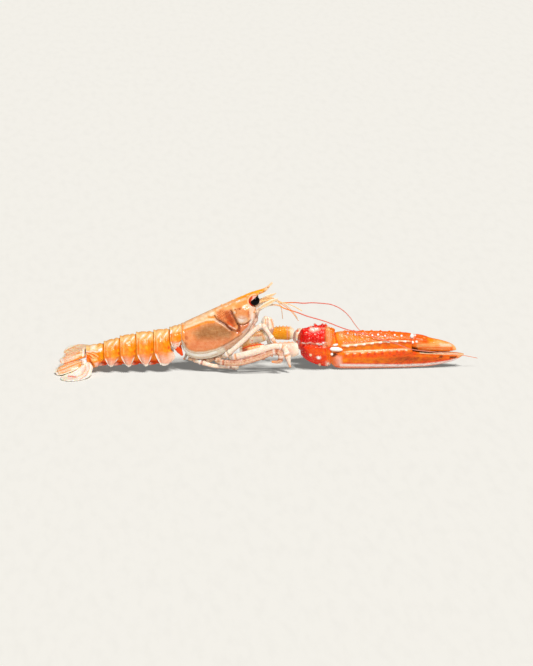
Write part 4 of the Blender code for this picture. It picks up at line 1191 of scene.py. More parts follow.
class LANGOUSTINE_OT_tail(bpy.types.Operator):
    """Make the six rings of the tail with their side plates"""

    bl_idname = "langoustine.tail"
    bl_label = "Tail rings"

    def execute(self, context):
        c = colours()
        lip = sizes().ring_lip / MM
        for number, shape in enumerate(TAIL_RINGS, 1):
            plain, f, over, turn = ring_grid(shape, number)
            points = raised(plain, ring_relief(plain, f, over, turn, number, lip))
            paint = ring_paint(plain, f, over, turn, number, c)
            parts = [(points, paint), ring_core(shape, number, c)]
            if number == 1:
                for side, _ in SIDES:
                    lobe, _, _ = tube(FIRST_RING_LOBE, 30, 30, side)
                    root = 1 - ease(0.1, 0.35, share_grid(lobe))
                    red = coloured(lobe, c, "belly_red", ("tail_light", 0.8 * root))
                    parts.append((raised(lobe, 0.15 * ripple(lobe, 2.6, 0.4)), red))
            add_piece(f"tail_ring_{number}", parts, shell_finish("tail_shell"), "shell_tail",
                      f"abdomen_ring_{number}")
        return {"FINISHED"}


# ---------------------------------------------------------------- tail fan

FAN_SLOPES = {NEAR: 0.36, FAR: 0.10}
FAN_REACH = {NEAR: 1.0, FAR: 0.74}
TELSON_ROLL = math.radians(14)
TELSON = (
    (-147.2, 0, 14.8, 5.6, 2.3),
    (-151.0, 0, 13.9, 6.6, 1.9),
    (-158.0, 0, 11.8, 6.9, 1.4),
    (-165.0, 0, 9.5, 6.1, 1.0),
    (-168.4, 0, 8.5, 3.8, 0.5),
)
# Each plate: x, y from the middle plane, height over the fan's slope, half width, half thickness.
ENDOPOD = (
    (-150.6, 9.0, -1.3, 2.8, 1.3),
    (-153.6, 9.6, -1.3, 5.6, 1.5),
    (-161.0, 11.0, -1.2, 7.3, 1.4),
    (-168.4, 12.2, -1.5, 6.4, 1.1),
    (-172.4, 12.8, -1.6, 3.4, 0.4),
)
EXOPOD = (
    (-145.6, 12.0, -1.4, 3.0, 1.0),
    (-148.2, 16.2, -2.5, 8.2, 1.0),
    (-153.8, 22.6, -3.1, 10.6, 0.9),
    (-159.4, 28.6, -3.2, 10.2, 0.8),
    (-163.4, 33.3, -2.8, 7.2, 0.6),
    (-165.6, 35.8, -2.4, 3.0, 0.4),
)
PROTOPOD = (
    (-149.2, 6.4, -1.8, 1.6, 1.6),
    (-149.0, 8.6, -1.2, 2.3, 2.4),
    (-148.6, 11.4, -1.2, 2.4, 2.5),
    (-148.4, 13.4, -1.8, 1.4, 1.5),
)
FAN_JOINT = (-147.0, 0.0, 15.0)
FAN_DROP = 0.28
FAN_LOWEST = 0.9


def fan_stations(side, stations):
    """Stations laid into the fan's slope, which drops towards the tips and the near side."""
    placed = []
    for x, y, over, half_width, half_height in stations:
        back = (FAN_JOINT[0] - x) * FAN_REACH[side]
        height = FAN_JOINT[2] - back * FAN_DROP + side * y * FAN_SLOPES[side] + over
        placed.append((FAN_JOINT[0] - back, side * y, max(height, FAN_LOWEST), half_width,
                       half_height))
    return placed


def fan_across(side, stations):
    """The direction across a blade: at right angles to its length, within the fan's slope."""
    path = np.array(stations)[:, :3]
    along = path[-1] - path[0]
    normal = np.array((-FAN_DROP, -FAN_SLOPES[side], 1.0))
    return np.cross(normal / np.linalg.norm(normal), along / np.linalg.norm(along))


# Marks of the fan's blades, seen from the side.
FAN_MARKS = {
    "telson": (
        ("area", "blush", 0.6, 1.0, ((-165.5, 8.1), (-155.4, 10.9), (-155.4, 7.8), (-164.6, 4.7))),
        ("line", "tail_orange", 0.95, 0.9,
         ((-166.6, 3.1), (-160.4, 4.9), (-155.4, 7.0), (-152.0, 8.6), (-147.8, 9.7))),
        ("line", "fan_rib", 0.7, 0.6, ((-168.0, 6.0), (-166.8, 3.4))),
        ("line", "fan_rib", 0.6, 0.6, ((-165.5, 8.6), (-158.7, 11.0), (-152.0, 13.3))),
        # A white vertical line near the telson's root: a painted highlight.
        ("line", "white", 0.9, 0.6, ((-148.8, 14.7), (-149.1, 10.3))),
    ),
    "inner_near": (
        ("area", "blush", 0.6, 1.2,
         ((-169.7, -1.7), (-158.7, 1.7), (-157.9, -1.7), (-167.1, -4.3))),
        ("line", "fan_rib", 0.6, 0.6, ((-168.8, 0.7), (-160.4, 3.6), (-152.0, 6.2))),
        ("line", "fan_rib", 0.7, 0.6,
         ((-170.5, -2.9), (-163.8, -0.5), (-157.0, 2.2), (-150.3, 4.8))),
        ("line", "fan_rib", 0.5, 0.5, ((-167.1, -4.3), (-160.4, -2.1), (-153.7, 0.9))),
        ("area", "fan_rib", 0.9, 0.8,
         ((-152.3, 3.4), (-149.5, 4.0), (-148.3, -0.9), (-151.6, -1.7))),
        # A white line along the blade's lower edge: a painted highlight.
        ("line", "white", 0.8, 0.6, ((-157.9, -0.7), (-153.7, 0.3))),
        ("line", "tan", 0.6, 0.5, ((-169.3, 0.3), (-170.2, -2.6), (-168.3, -5.0))),
    ),
    "outer_near": (
        ("area", "fringe", 0.85, 2.0,
         ((-168.8, -3.4), (-148.6, 5.2), (-140.2, 3.4), (-141.9, -13.8), (-168.8, -13.8))),
        ("area", "blush", 0.75, 1.8,
         ((-149.5, 0.9), (-143.6, 2.6), (-144.4, -5.2), (-150.3, -6.9))),
        ("area", "blush", 0.6, 1.0,
         ((-165.5, -7.8), (-153.7, -6.9), (-152.0, -9.5), (-163.8, -10.3))),
        ("line", "fan_rib", 0.55, 0.5,
         ((-143.6, 4.3), (-143.1, -0.9), (-145.3, -6.0), (-150.3, -9.5))),
        ("line", "fan_rib", 0.45, 0.5,
         ((-146.9, 3.4), (-146.1, -0.9), (-148.6, -5.2), (-153.7, -7.8))),
        ("line", "wrist_orange", 0.7, 0.8, ((-160.0, -6.7), (-154.1, -7.2))),
    ),
    "base_near": (
        # The white patch on the fan's base is a painted highlight.
        ("area", "white", 0.8, 1.8,
         ((-149.8, 8.6), (-146.9, 9.5), (-144.1, 8.1), (-144.7, 4.8), (-148.1, 4.0),
          (-150.0, 6.0))),
        ("area", "fan_rib", 0.9, 0.7,
         ((-152.3, 6.4), (-149.3, 6.6), (-149.5, 4.5), (-152.0, 4.3))),
        ("spot", "tan", 0.8, 0.6, ((-148.1, 6.0), (-148.1, 3.4))),
        ("line", "belly_red", 0.6, 0.6, ((-148.6, 9.7), (-145.3, 9.7), (-142.7, 7.4))),
    ),
}


def blade(stations, across, c, keels, orange=0.5):
    """A leaf of the tail fan: a flat tube whose upper face carries ribs that run lengthwise, with
    a pale fringe of fine bristle lines round its rear edge."""
    points, _, angle = tube(stations, 96, 120, across=across, mirror=False)
    t = share_grid(points)
    sideways = np.cos(angle)[None] * np.ones_like(t)
    face = np.abs(np.sin(angle))[None] * np.ones_like(t)
    edge = np.maximum(ease(0.80, 0.99, t), ease(0.86, 1.0, np.abs(sideways)) * ease(0.25, 0.5, t))
    bristle = 0.5 + 0.5 * np.cos(sideways * 90 + 20 * t * np.sign(sideways))
    height = 0.10 * ripple(points, 4.0, 0.8) * face
    paint = coloured(points, c, "fan_peach",
                     ("fan_rib",
                      orange * ease(0.0, 0.7, ripple(points * (0.4, 1.2, 1), 7.0, 1.1))))
    for place, strength in keels:
        height = (height
                  + 0.45 * strength * hump(sideways, place, 0.07) * (1 - ease(0.7, 0.9, t)) * face)
        paint = layered(
            paint, c,
            ("fan_rib",
             0.85 * strength * hump(sideways, place + 0.10, 0.07) * (1 - ease(0.75, 0.95, t))),
            ("fringe",
             0.6 * strength * hump(sideways, place - 0.02, 0.05) * (1 - ease(0.6, 0.9, t))),
        )
    paint = layered(
        paint, c,
        ("fan_rib", 0.75 * hump(t, 0.80, 0.025) * (1 - ease(0.8, 0.95, np.abs(sideways)))),
        ("fan_rib", 0.75 * hump(np.abs(sideways), 0.90, 0.05) * (1 - ease(0.75, 0.9, t))),
        ("fringe", 0.9 * edge),
        ("fan_peach", 0.5 * edge * bristle),
    )
    height = height + 0.06 * edge * bristle
    return raised(points, height), paint


class LANGOUSTINE_OT_tail_fan(bpy.types.Operator):
    """Make the telson and the ribbed, fringed blades of the tail fan"""

    bl_idname = "langoustine.tail_fan"
    bl_label = "Tail fan"

    def execute(self, context):
        c = colours()
        finish = shell_finish("fan_shell")
        across = (0, math.cos(TELSON_ROLL), math.sin(TELSON_ROLL))
        keels = ((0.35, 1.0), (-0.35, 1.0))
        points, paint = blade(TELSON, across, c, keels, 0.7)
        paint = marked(paint, side_view(points, wobble=0.2), FAN_MARKS["telson"], c)
        add_piece("telson_blade", [(points, paint)], finish, "shell_fan", "telson")
        for side, word in SIDES:
            for kind, stations, keels in (
                ("inner", ENDOPOD, ((0.05, 1.0), (-0.45, 0.5))),
                ("outer", EXOPOD, ((-0.2, 0.8), (0.35, 0.6))),
            ):
                placed = fan_stations(side, stations)
                points, paint = blade(placed, fan_across(side, placed), c, keels)
                marks = FAN_MARKS.get(f"{kind}_{word}", ())
                parts = [(points, marked(paint, side_view(points, UNMIRRORED, 0.2), marks, c))]
                add_piece(f"fan_{kind}_{word}", parts, finish, "shell_fan",
                          f"uropod_{kind}_{word}")
            placed = fan_stations(side, PROTOPOD)
            points, _, _ = tube(placed, 30, 40, across=fan_across(side, placed), mirror=False)
            points = raised(points, 0.25 * ripple(points, 3.4, 0.2) + 0.2)
            paint = coloured(
                points, c, "fan_peach",
                ("fringe", ease(-0.1, 0.4, ripple(points, 3.0, 1.0))),
                ("fan_rib", 0.7 * ease(0.2, 0.5, ripple(points, 4.2, 2.3))),
            )
            marks = FAN_MARKS.get(f"base_{word}", ())
            parts = [(points, marked(paint, side_view(points, UNMIRRORED, 0.2), marks, c))]
            middle = points.mean(axis=(0, 1))
            thorn = spine(middle + (-1.0, 0, 1.0), middle + (-4.2, 0.4 * side, 1.2), 0.9)
            parts.append((thorn, coloured(thorn, c, "fan_rib", ("fringe", share_grid(thorn)))))
            add_piece(f"fan_base_{word}", parts, finish, "shell_fan", f"uropod_base_{word}")
        return {"FINISHED"}


# ---------------------------------------------------------------- feelers

ANTENNA_SCALE = (
    (-1.5, 10.6, 53.6, 0.9, 0.4),
    (2.5, 11.0, 56.2, 1.9, 0.5),
    (7.0, 11.0, 58.6, 2.0, 0.5),
    (11.0, 10.6, 60.6, 1.2, 0.4),
    (14.0, 10.2, 62.0, 0.3, 0.3),
)
ANTENNULE = (
    (-1.5, 3.4, 57.4, 1.2, 1.2),
    (3.5, 3.6, 58.8, 1.0, 0.9),
    (8.5, 3.7, 59.4, 0.8, 0.7),
    (12.5, 3.8, 58.6, 0.6, 0.55),
    (15.0, 4.0, 57.2, 0.4, 0.4),
    (22.0, 4.6, 52.6, 0.4, 0.4),
    (27.5, 5.2, 47.2, 0.35, 0.35),
    (31.5, 5.6, 41.4, 0.3, 0.3),
)
ANTENNA_BASE = (
    (-3.2, 7.6, 50.8, 1.4, 1.5),
    (0.6, 8.2, 53.6, 1.3, 1.3),
    (6.5, 8.2, 55.8, 1.1, 0.95),
    (11.5, 8.2, 56.0, 0.9, 0.8),
    (15.5, 8.2, 55.2, 0.7, 0.65),
)
WHIPS = {
    NEAR: (
        (18.5, -8.5, 53.4), (29.5, -9.4, 49.8), (38.4, -10.2, 46.4), (48.7, -11.0, 43.4),
        (56.4, -11.8, 40.9), (64.0, -12.4, 37.8), (72.3, -13.2, 34.9), (82.9, -14.0, 32.4),
        (92.2, -14.8, 29.4), (101.0, -16.6, 26.9), (108.2, -18.0, 25.0), (116.4, -18.6, 22.0),
        (124.6, -18.4, 18.6), (141.8, -16.2, 15.6), (158.5, -14.6, 13.0), (170.5, -12.4, 10.9),
        (182.6, -9.0, 7.6),
    ),
    FAR: (
        (18.5, 8.4, 54.0), (29.0, 7.8, 54.2), (36.8, 7.0, 53.7), (43.4, 6.4, 54.1),
        (57.4, 5.8, 53.0), (63.8, 5.8, 51.0), (70.3, 5.8, 47.0), (76.1, 6.0, 41.0),
        (80.0, 6.2, 35.2), (85.6, 6.6, 29.0), (94.0, 7.0, 26.4), (106.0, 7.4, 25.0),
    ),
}
# Second threads of the antennules, as they leave the stem.
SIDE_THREADS = {
    NEAR: ((14.0, -4.0, 57.4), (20.0, -4.6, 56.6), (26.0, -5.0, 54.6), (31.0, -5.4, 52.0),
           (34.6, -5.6, 49.8)),
    FAR: ((14.0, 4.0, 57.0), (17.0, 4.4, 52.6), (18.4, 4.6, 47.0), (19.0, 4.8, 41.0)),
}


def jointed(points, t, spacing, depth, reach):
    """Small rings along a feeler: a cosine along its length, of that spacing and depth."""
    return raised(points, depth * np.cos(t * reach * TAU / spacing))


class LANGOUSTINE_OT_feelers(bpy.types.Operator):
    """Make the antenna scales, the antennules and the two long antennae"""

    bl_idname = "langoustine.feelers"
    bl_label = "Feelers"

    def execute(self, context):
        c = colours()
        for side, word in SIDES:
            scale, _, angle = tube(ANTENNA_SCALE, 50, 40, side, UPWARDS)
            t = share_grid(scale)
            across = np.cos(angle)[None] * np.ones_like(t)
            paint = coloured(
                scale, c, "pale_peach",
                ("tail_amber", 0.55 * hump(across, 0.1, 0.35)),
                ("fringe", 0.8 * ease(0.7, 1.0, np.abs(across))),
            )
            add_piece(f"feeler_scale_{word}", [(scale, paint)], shell_finish("leg_shell"),
                      "shell_leg", f"antenna_scale_{word}")
            stem, _, _ = tube(ANTENNULE, 260, 12, side)
            t = share_grid(stem)
            stem = jointed(stem, t, 0.9, 0.04, 55)
            paint = coloured(
                stem, c, "pale_peach",
                ("tail_amber", 0.6 * band(0.02, 0.34, 0.05, t)),
                ("orange" if side == NEAR else "leg_tan", 0.7 * ease(0.30, 0.5, t)),
            )
            thread = [(*place, 0.34, 0.34) for place in SIDE_THREADS[side]]
            second, _, _ = tube(thread, 80, 8, mirror=False)
            pale = c["tail_light" if side == NEAR else "leg_tan"]
            parts = [(stem, paint), (second, flat_paint(second, pale))]
            add_piece(f"feeler_short_{word}", parts, shell_finish("feeler_shell"), "feeler",
                      f"antennule_{word}")
            stations = [(x, side * y, z, wide, high) for x, y, z, wide, high in ANTENNA_BASE]
            whip = WHIPS[side]
            for index, place in enumerate(whip):
                radius = 0.52 - 0.24 * index / (len(whip) - 1)
                stations.append((*place, radius, radius))
            points, ends, _ = tube(stations, 1400, 12, mirror=False)
            t = share_grid(points)
            stem_end = ends[len(ANTENNA_BASE)]
            points = jointed(points, t, 1.1, 0.05, 200)
            paint = coloured(
                points, c, "feeler_pink",
                ("wrist_orange", 0.35 * ease(0.0, 0.6, ripple(points, 22.0, 0.5))),
                ("leg_tan", 0.45 * ease(0.5, 0.95, t)),
                ("orange", 1 - ease(stem_end * 0.9, stem_end * 1.8, t)),
                ("leg_cream", 0.85 * (1 - ease(stem_end * 0.6, stem_end * 1.0, t))),
            )
            crest = hump(points[..., 2], points[..., 2].max(axis=1, keepdims=True), 0.5)
            paint = tinted(paint, c["tail_amber"], 0.7 * crest * (t < stem_end))
            add_piece(f"feeler_long_{word}", [(points, paint)], shell_finish("feeler_shell"),
                      "feeler", f"antenna_{word}")
        return {"FINISHED"}


# ---------------------------------------------------------------- underside

MAXILLIPED = (
    (8.6, 7.8, 31.4, 0.8, 1.2),
    (7.6, 8.0, 33.6, 1.5, 3.4),
    (6.4, 8.1, 37.4, 1.8, 4.9),
    (5.9, 8.2, 41.0, 1.8, 5.1),
    (6.2, 8.2, 44.0, 1.6, 4.0),
    (6.8, 8.2, 45.6, 1.0, 2.2),
)
MAXILLIPED_DROP = {NEAR: 0.0, FAR: 3.4}
JAW_MARKS = (
    ("line", "fan_rib", 0.8, 0.6, ((4.3, 41.7), (4.0, 31.9))),
    ("line", "leg_rust", 0.5, 0.5, ((6.1, 42.6), (6.8, 31.9))),
    ("line", "fan_rib", 0.7, 0.7, ((9.2, 41.9), (10.9, 34.5))),
    ("area", "leg_rust", 0.7, 1.0, ((5.5, 33.1), (11.9, 34.0), (11.0, 29.0), (6.8, 29.0))),
    ("area", "leg_cream", 0.6, 1.4, ((0.9, 41.4), (3.3, 42.2), (3.3, 33.6), (1.1, 33.6))),
)
MOUTHPARTS = (
    (-14.6, 0, 23.8, 4.6, 2.2),
    (-10.8, 0, 30.2, 5.6, 2.6),
    (-7.0, 0, 37.4, 5.4, 2.5),
    (-4.0, 0, 43.8, 4.4, 2.1),
    (-2.8, 0, 48.6, 3.0, 1.5),
)
STERNUM = (
    (-60.5, 0, 10.2, 4.6, 2.0),
    (-52.0, 0, 8.4, 6.2, 2.5),
    (-43.5, 0, 8.9, 6.4, 2.6),
    (-35.0, 0, 11.2, 6.4, 2.6),
    (-27.0, 0, 15.6, 6.0, 2.6),
    (-19.6, 0, 21.0, 4.8, 2.2),
)
SWIMMERET_ROOTS = (-91.6, -106.6, -120.2, -132.8)
SWIMMERET = (
    (4.6, 5.2, 7.9, 0.9, 0.7),
    (2.0, 5.4, 7.4, 1.9, 1.5),
    (-2.2, 5.5, 7.0, 2.0, 1.6),
    (-4.4, 5.5, 6.6, 0.8, 0.6),
)


class LANGOUSTINE_OT_underside(bpy.types.Operator):
    """Make the mouthparts, the breastplate, the leg-like jaws and the swimmerets"""

    bl_idname = "langoustine.underside"
    bl_label = "Underside"

    def execute(self, context):
        c = colours()
        under = shell_finish("under_shell")
        for name, stations, folds in (("mouthparts", MOUTHPARTS, 4), ("sternum", STERNUM, 5)):
            points, _, _ = tube(stations, 90, 60, FAR)
            t = share_grid(points)
            fold = np.cos(t * folds * TAU)
            points = raised(points, 0.35 * fold + 0.2 * ripple(points, 4.0, 0.6))
            pale = name == "mouthparts"
            paint = flat_paint(points, c["blush"] if pale else c["leg_tan"])
            paint = layered(
                paint, c,
                # Rust in the troughs of the folds: painted shade in the creases.
                ("leg_rust", (0.35 if pale else 0.7) * ease(-0.2, -0.9, fold)),
                ("leg_cream", 0.6 * ease(0.2, 0.7, ripple(points, 5.5, 2.2))),
                ("leg_rust", 0.7 * pale * ease(0.35, 0.6, ripple(points, 2.0, 1.2))),
            )
            add_piece(f"{name}_shell", [(points, paint)], under, "shell_under", name)
        for side, word in SIDES:
            drop = MAXILLIPED_DROP[side]
            lowered = [(x, y, z - drop, wide, high) for x, y, z, wide, high in MAXILLIPED]
            points, _, angle = tube(lowered, 90, 48, side)
            t = share_grid(points)
            turn = np.cos(angle)[None] * np.ones_like(t)
            folds = np.cos(np.sin(angle)[None] * 9.0) * ease(0.05, 0.3, t)
            points = raised(points, 0.35 * folds * (1 - ease(0.8, 1.0, t)))
            paint = coloured(
                points, c, "leg_cream",
                ("leg_tan", 0.6 * ease(0.0, 0.6, ripple(points * (1, 1, 0.4), 4.0, 0.8))),
                ("leg_tan", 0.5 * hump(turn, 0, 0.4)),
            )
            paint = marked(paint, side_view(points, UNMIRRORED, 0.2), JAW_MARKS, c)
            add_piece(f"jaw_leg_{word}", [(points, paint)], shell_finish("leg_shell"), "shell_leg",
                      f"maxilliped_{word}")
            for number, root in enumerate(SWIMMERET_ROOTS, 2):
                placed = [(root + station[0], *station[1:]) for station in SWIMMERET]
                points, _, _ = tube(placed, 40, 30, side)
                points = raised(points, 0.12 * ripple(points, 2.4, number))
                paint = coloured(points, c, "belly_red",
                                 ("leg_cream", 0.7 * ease(0.3, 1.0, share_grid(points))))
                add_piece(f"swimmeret_{number}_{word}_blade", [(points, paint)], under,
                          "shell_under", f"swimmeret_{number}_{word}")
        return {"FINISHED"}


# ---------------------------------------------------------------- walking legs

NEAR_LEGS = (
    (
        (-31.4, 10.6, 13.4, 1.9, 2.0), (-28.0, 13.6, 16.2, 2.2, 2.3), (-16.5, 15.9, 26.6, 2.1,
                                                                       2.3),
        (-3.4, 16.4, 38.6, 2.0, 2.2), (0.2, 16.5, 40.6, 1.9, 2.1), (3.2, 16.5, 37.2, 1.9, 2.1),
        (8.8, 16.8, 28.8, 1.6, 1.9), (11.0, 16.9, 25.6, 0.8, 1.0),
    ),
    (
        (-26.0, 11.4, 12.4, 1.8, 2.2), (-21.6, 16.4, 14.0, 2.1, 2.8), (-5.0, 19.4, 18.6, 2.1, 3.1),
        (12.0, 20.4, 23.2, 1.9, 2.7), (17.0, 20.8, 22.8, 1.9, 2.3), (20.8, 21.4, 15.8, 2.1, 2.7),
        (23.4, 21.6, 5.4, 0.5, 0.7),
    ),
    (
        (-37.0, 11.4, 9.4, 1.7, 1.9), (-31.6, 17.0, 9.2, 2.0, 2.4), (-20.0, 22.4, 10.2, 2.0, 2.9),
        (-2.5, 24.2, 15.2, 2.0, 3.0), (11.5, 25.0, 19.6, 1.7, 2.5), (15.2, 25.2, 18.4, 2.0, 2.4),
        (15.4, 25.2, 13.2, 1.9, 2.2), (12.0, 25.0, 10.8, 1.2, 1.5), (7.6, 24.8, 11.2, 0.6, 0.8),
    ),
    (
        (-55.5, 8.6, 9.6, 1.6, 1.8), (-50.0, 11.0, 8.2, 1.8, 2.0), (-38.0, 12.0, 5.2, 1.8, 1.9),
        (-26.0, 13.2, 5.4, 2.0, 2.1), (-21.2, 13.0, 4.2, 1.9, 2.5), (-22.4, 9.4, 3.0, 1.6, 1.8),
        (-30.0, 6.6, 2.6, 1.3, 1.5), (-38.0, 5.2, 2.2, 0.5, 0.7),
    ),
)
FAR_LEGS = (
    (
        (-30.5, 10.4, 13.4, 2.0, 2.2), (-24.0, 14.6, 18.0, 2.1, 2.3), (-6.0, 18.6, 29.8, 2.0, 2.3),
        (0.5, 19.0, 30.4, 1.8, 2.1), (5.0, 19.2, 26.0, 1.7, 2.0), (9.5, 19.4, 14.0, 1.4, 1.7),
        (11.0, 19.6, 5.0, 0.5, 0.7),
    ),
    (
        (-37.0, 10.6, 8.6, 2.0, 2.2), (-30.0, 17.0, 11.6, 2.1, 2.3), (-12.0, 23.6, 20.0, 2.0, 2.3),
        (-6.5, 24.6, 20.4, 1.8, 2.1), (-1.5, 25.6, 15.6, 1.6, 1.9), (5.0, 27.0, 1.0, 0.6, 0.9),
    ),
    (
        (-45.0, 10.4, 6.8, 1.9, 2.1), (-42.0, 16.0, 9.4, 2.0, 2.2), (-33.0, 26.0, 17.0, 1.9, 2.2),
        (-29.5, 28.6, 16.0, 1.7, 2.0), (-27.0, 30.6, 9.6, 1.5, 1.8), (-24.0, 31.6, 1.0, 0.6, 0.9),
    ),
    (
        (-55.0, 9.4, 7.2, 1.8, 2.0), (-55.5, 15.0, 9.4, 1.9, 2.1), (-57.0, 24.0, 13.6, 1.8, 2.0),
        (-58.0, 26.8, 12.2, 1.6, 1.8), (-60.0, 29.6, 7.0, 1.4, 1.6), (-63.0, 31.6, 1.0, 0.6, 0.9),
    ),
)
# Which stations of a leg are its joints, and its colours: shaft, line along the top, joints.
LEG_LOOKS = {
    (NEAR, 1): ((1, 4, 6), "leg_cream", "leg_cream", "leg_tan"),
    (NEAR, 2): ((1, 4, 5), "leg_cream", "leg_cream", "orange"),
    (NEAR, 3): ((1, 4, 6), "leg_tan", "leg_red", "leg_rust"),
    (NEAR, 4): ((1, 3, 5), "leg_cream", "leg_tan", "leg_rust"),
    (FAR, 1): ((1, 3, 5), "leg_cream", "orange", "leg_rust"),
    (FAR, 2): ((1, 3, 4), "leg_cream", "fan_rib", "leg_rust"),
    (FAR, 3): ((1, 3, 4), "leg_tan", "fan_rib", "leg_rust"),
    (FAR, 4): ((1, 3, 4), "leg_cream", "leg_tan", "leg_rust"),
}
# The first two pairs end in small pincers.
PINCERED = (1, 2)


def leg_part(stations, side, look, c):
    """A walking leg: a smooth tube that narrows at each joint and swells on both sides of it,
    with a flat facet along its outer side."""
    joints, shaft, line, joint = look
    points, ends, angle = tube(stations, 190, 36, side)
    t = share_grid(points)
    upward = np.sin(angle)[None] * np.ones_like(t)
    height = 0.12 * ripple(points, 5.0, len(stations)) - 0.22 * np.abs(np.cos(2 * angle))[None]
    height = height + 0.18 * hump(upward, -0.15, 0.10) - 0.12 * hump(upward, 0.30, 0.10)
    paint = coloured(
        points, c, shaft,
        ("leg_tan", 0.45 * ease(0.1, 0.7, ripple(points, 7.0, 1.4))),
        (line, 0.8 * hump(upward, 0.85, 0.25) * band(0.15, 0.85, 0.1, t)),
        ("blush", 0.65 * ease(0.0, 0.5, ripple(points * (0.25, 1, 1.6), 2.6, 0.7))),
    )
    # Rust streaks over the lower half, and solid rust on the underside, are painted shade under
    # the leg; the streaks also give it a grain.
    streak = ease(0.30, 0.60, ripple(points * (0.2, 1, 2.2), 1.9, 2.0))
    paint = layered(
        paint, c,
        ("leg_rust", 0.40 * streak * (1 - ease(-0.1, 0.4, upward))),
        ("white", 0.45 * ease(0.35, 0.65, ripple(points * (0.2, 1, 2.0), 2.4, 5.0))),
        ("leg_rust", 0.75 * ease(-0.40, -0.90, upward)),
        ("blush", 0.5 * hump(upward, -0.15, 0.16) * (c[shaft] is c["leg_cream"])),
    )
    if (side, shaft) == (NEAR, "leg_tan"):
        paint = tinted(paint, c["leg_rust"],
                       0.55 * hump(upward, 0.25, 0.12)
                       + 0.35 * ease(0.0, 0.5, ripple(points, 4.0, 0.9)))
    for index in joints:
        height = (height + 0.45 * hump(t, ends[index] - 0.025, 0.02)
                  + 0.35 * hump(t, ends[index] + 0.03, 0.02))
        height = height - 0.55 * hump(t, ends[index], 0.008)
        paint = layered(
            paint, c,
            (joint, 0.75 * hump(t, ends[index], 0.014)),
            ("white", 0.45 * hump(t, ends[index] - 0.03, 0.012)),
        )
    paint = tinted(paint, c["fan_rib"], 0.8 * ease(0.93, 1.0, t))
    return raised(points, height * (1 - ease(0.9, 1.0, t))), paint


class LANGOUSTINE_OT_walking_legs(bpy.types.Operator):
    """Make the eight walking legs with their hips, joints and small pincers"""

    bl_idname = "langoustine.walking_legs"
    bl_label = "Walking legs"

    def execute(self, context):
        c = colours()
        for side, word in SIDES:
            for number, stations in enumerate(NEAR_LEGS if side == NEAR else FAR_LEGS, 1):
                parts = [leg_part(stations, side, LEG_LOOKS[side, number], c)]
                hip = np.array(stations[0][:3]) * (1, side, 1)
                knob = blob(hip + (0.6, -0.8 * side, 0.3), (3.0, 2.4, 2.6), 18, 26, 0.4)
                knob = raised(knob, 0.25 * ripple(knob, 3.0, number))
                paint = coloured(
                    knob, c, "leg_tan",
                    ("leg_rust", ease(-0.1, 0.5, ripple(knob, 4.0, 1.0))),
                    ("leg_cream", 0.6 * ease(0.1, 0.6, ripple(knob, 3.1, 4.0))),
                )
                parts.append((knob, paint))
                if number in PINCERED:
                    last, tip = (np.array(station[:3]) * (1, side, 1) for station in stations[-2:])
                    along = (tip - last) / np.linalg.norm(tip - last)
                    aside = np.cross(along, (0, 1, 0)) * (1.2 if number == 1 else 1.0)
                    thumb = spine(last + aside, tip + aside * 0.6 + along * 1.2, 1.0, 16, 14)
                    paint = coloured(thumb, c, "leg_cream",
                                     ("fan_rib", ease(0.5, 1.0, share_grid(thumb))))
                    parts.append((thumb, paint))
                add_piece(f"walking_leg_{number}_{word}", parts, shell_finish("leg_shell"),
                          "shell_leg", f"leg_{number}_{word}")
        return {"FINISHED"}


# ---------------------------------------------------------------- claw arms

ISCHIUM = {
    NEAR: (
        (-17.6, 8.6, 17.0, 2.6, 3.4), (-9.0, 10.4, 18.2, 3.2, 4.6), (-2.0, 11.6, 18.8, 3.4, 4.9),
        (2.4, 12.0, 19.0, 2.8, 4.2),
    ),
    FAR: (
        (-17.0, 8.6, 17.6, 2.6, 3.2), (-9.0, 10.2, 20.4, 3.2, 4.4), (-1.0, 11.6, 23.8, 3.4, 5.0),
        (5.0, 12.4, 25.6, 3.2, 4.8), (6.6, 12.4, 25.8, 2.8, 4.2),
    ),
}
MERUS = {
    NEAR: (
        (2.9, 12.1, 19.0, 2.8, 3.8), (8.0, 12.4, 19.0, 3.7, 5.0), (18.0, 12.4, 18.6, 4.2, 5.8),
        (26.0, 12.2, 18.4, 4.6, 6.4), (30.6, 11.8, 19.0, 3.6, 5.0),
    ),
    FAR: (
        (7.4, 12.8, 26.4, 2.8, 3.8), (11.0, 13.2, 26.6, 3.8, 4.9), (18.0, 13.2, 26.8, 4.3, 5.6),
        (24.6, 12.8, 26.6, 4.4, 5.7), (28.6, 12.6, 26.0, 3.4, 4.4),
    ),
}
CARPUS = {
    NEAR: (
        (32.0, 9.6, 25.6, 5.4, 6.2), (35.2, 9.0, 25.4, 8.0, 10.0), (41.0, 7.8, 23.6, 9.2, 14.2),
        (47.0, 7.2, 21.6, 9.4, 16.2), (53.0, 7.0, 19.8, 9.2, 16.6), (57.4, 7.0, 18.2, 8.4, 15.8),
        (58.8, 7.0, 18.2, 6.8, 13.2),
    ),
    FAR: (
        (29.9, 12.6, 24.4, 4.2, 4.4), (33.0, 13.4, 23.6, 6.6, 7.2), (39.0, 15.2, 20.0, 8.6, 9.4),
        (46.0, 17.2, 15.8, 10.4, 10.2), (52.0, 18.8, 12.0, 11.4, 9.8),
        (54.6, 19.4, 11.4, 10.4, 9.0), (55.8, 19.4, 11.4, 9.0, 7.6),
    ),
}
# The wrist's length and mean radius, and the middle plane of each wrist.
WRIST_LENGTH, WRIST_GIRTH = 28.0, 11.0
WRIST_MIDDLE = {NEAR: -7.6, FAR: 16.0}
# Over these y the far wrist's marks fade, so that only its facing side bears them.
FAR_WRIST_FADE = (14.0, 17.5)
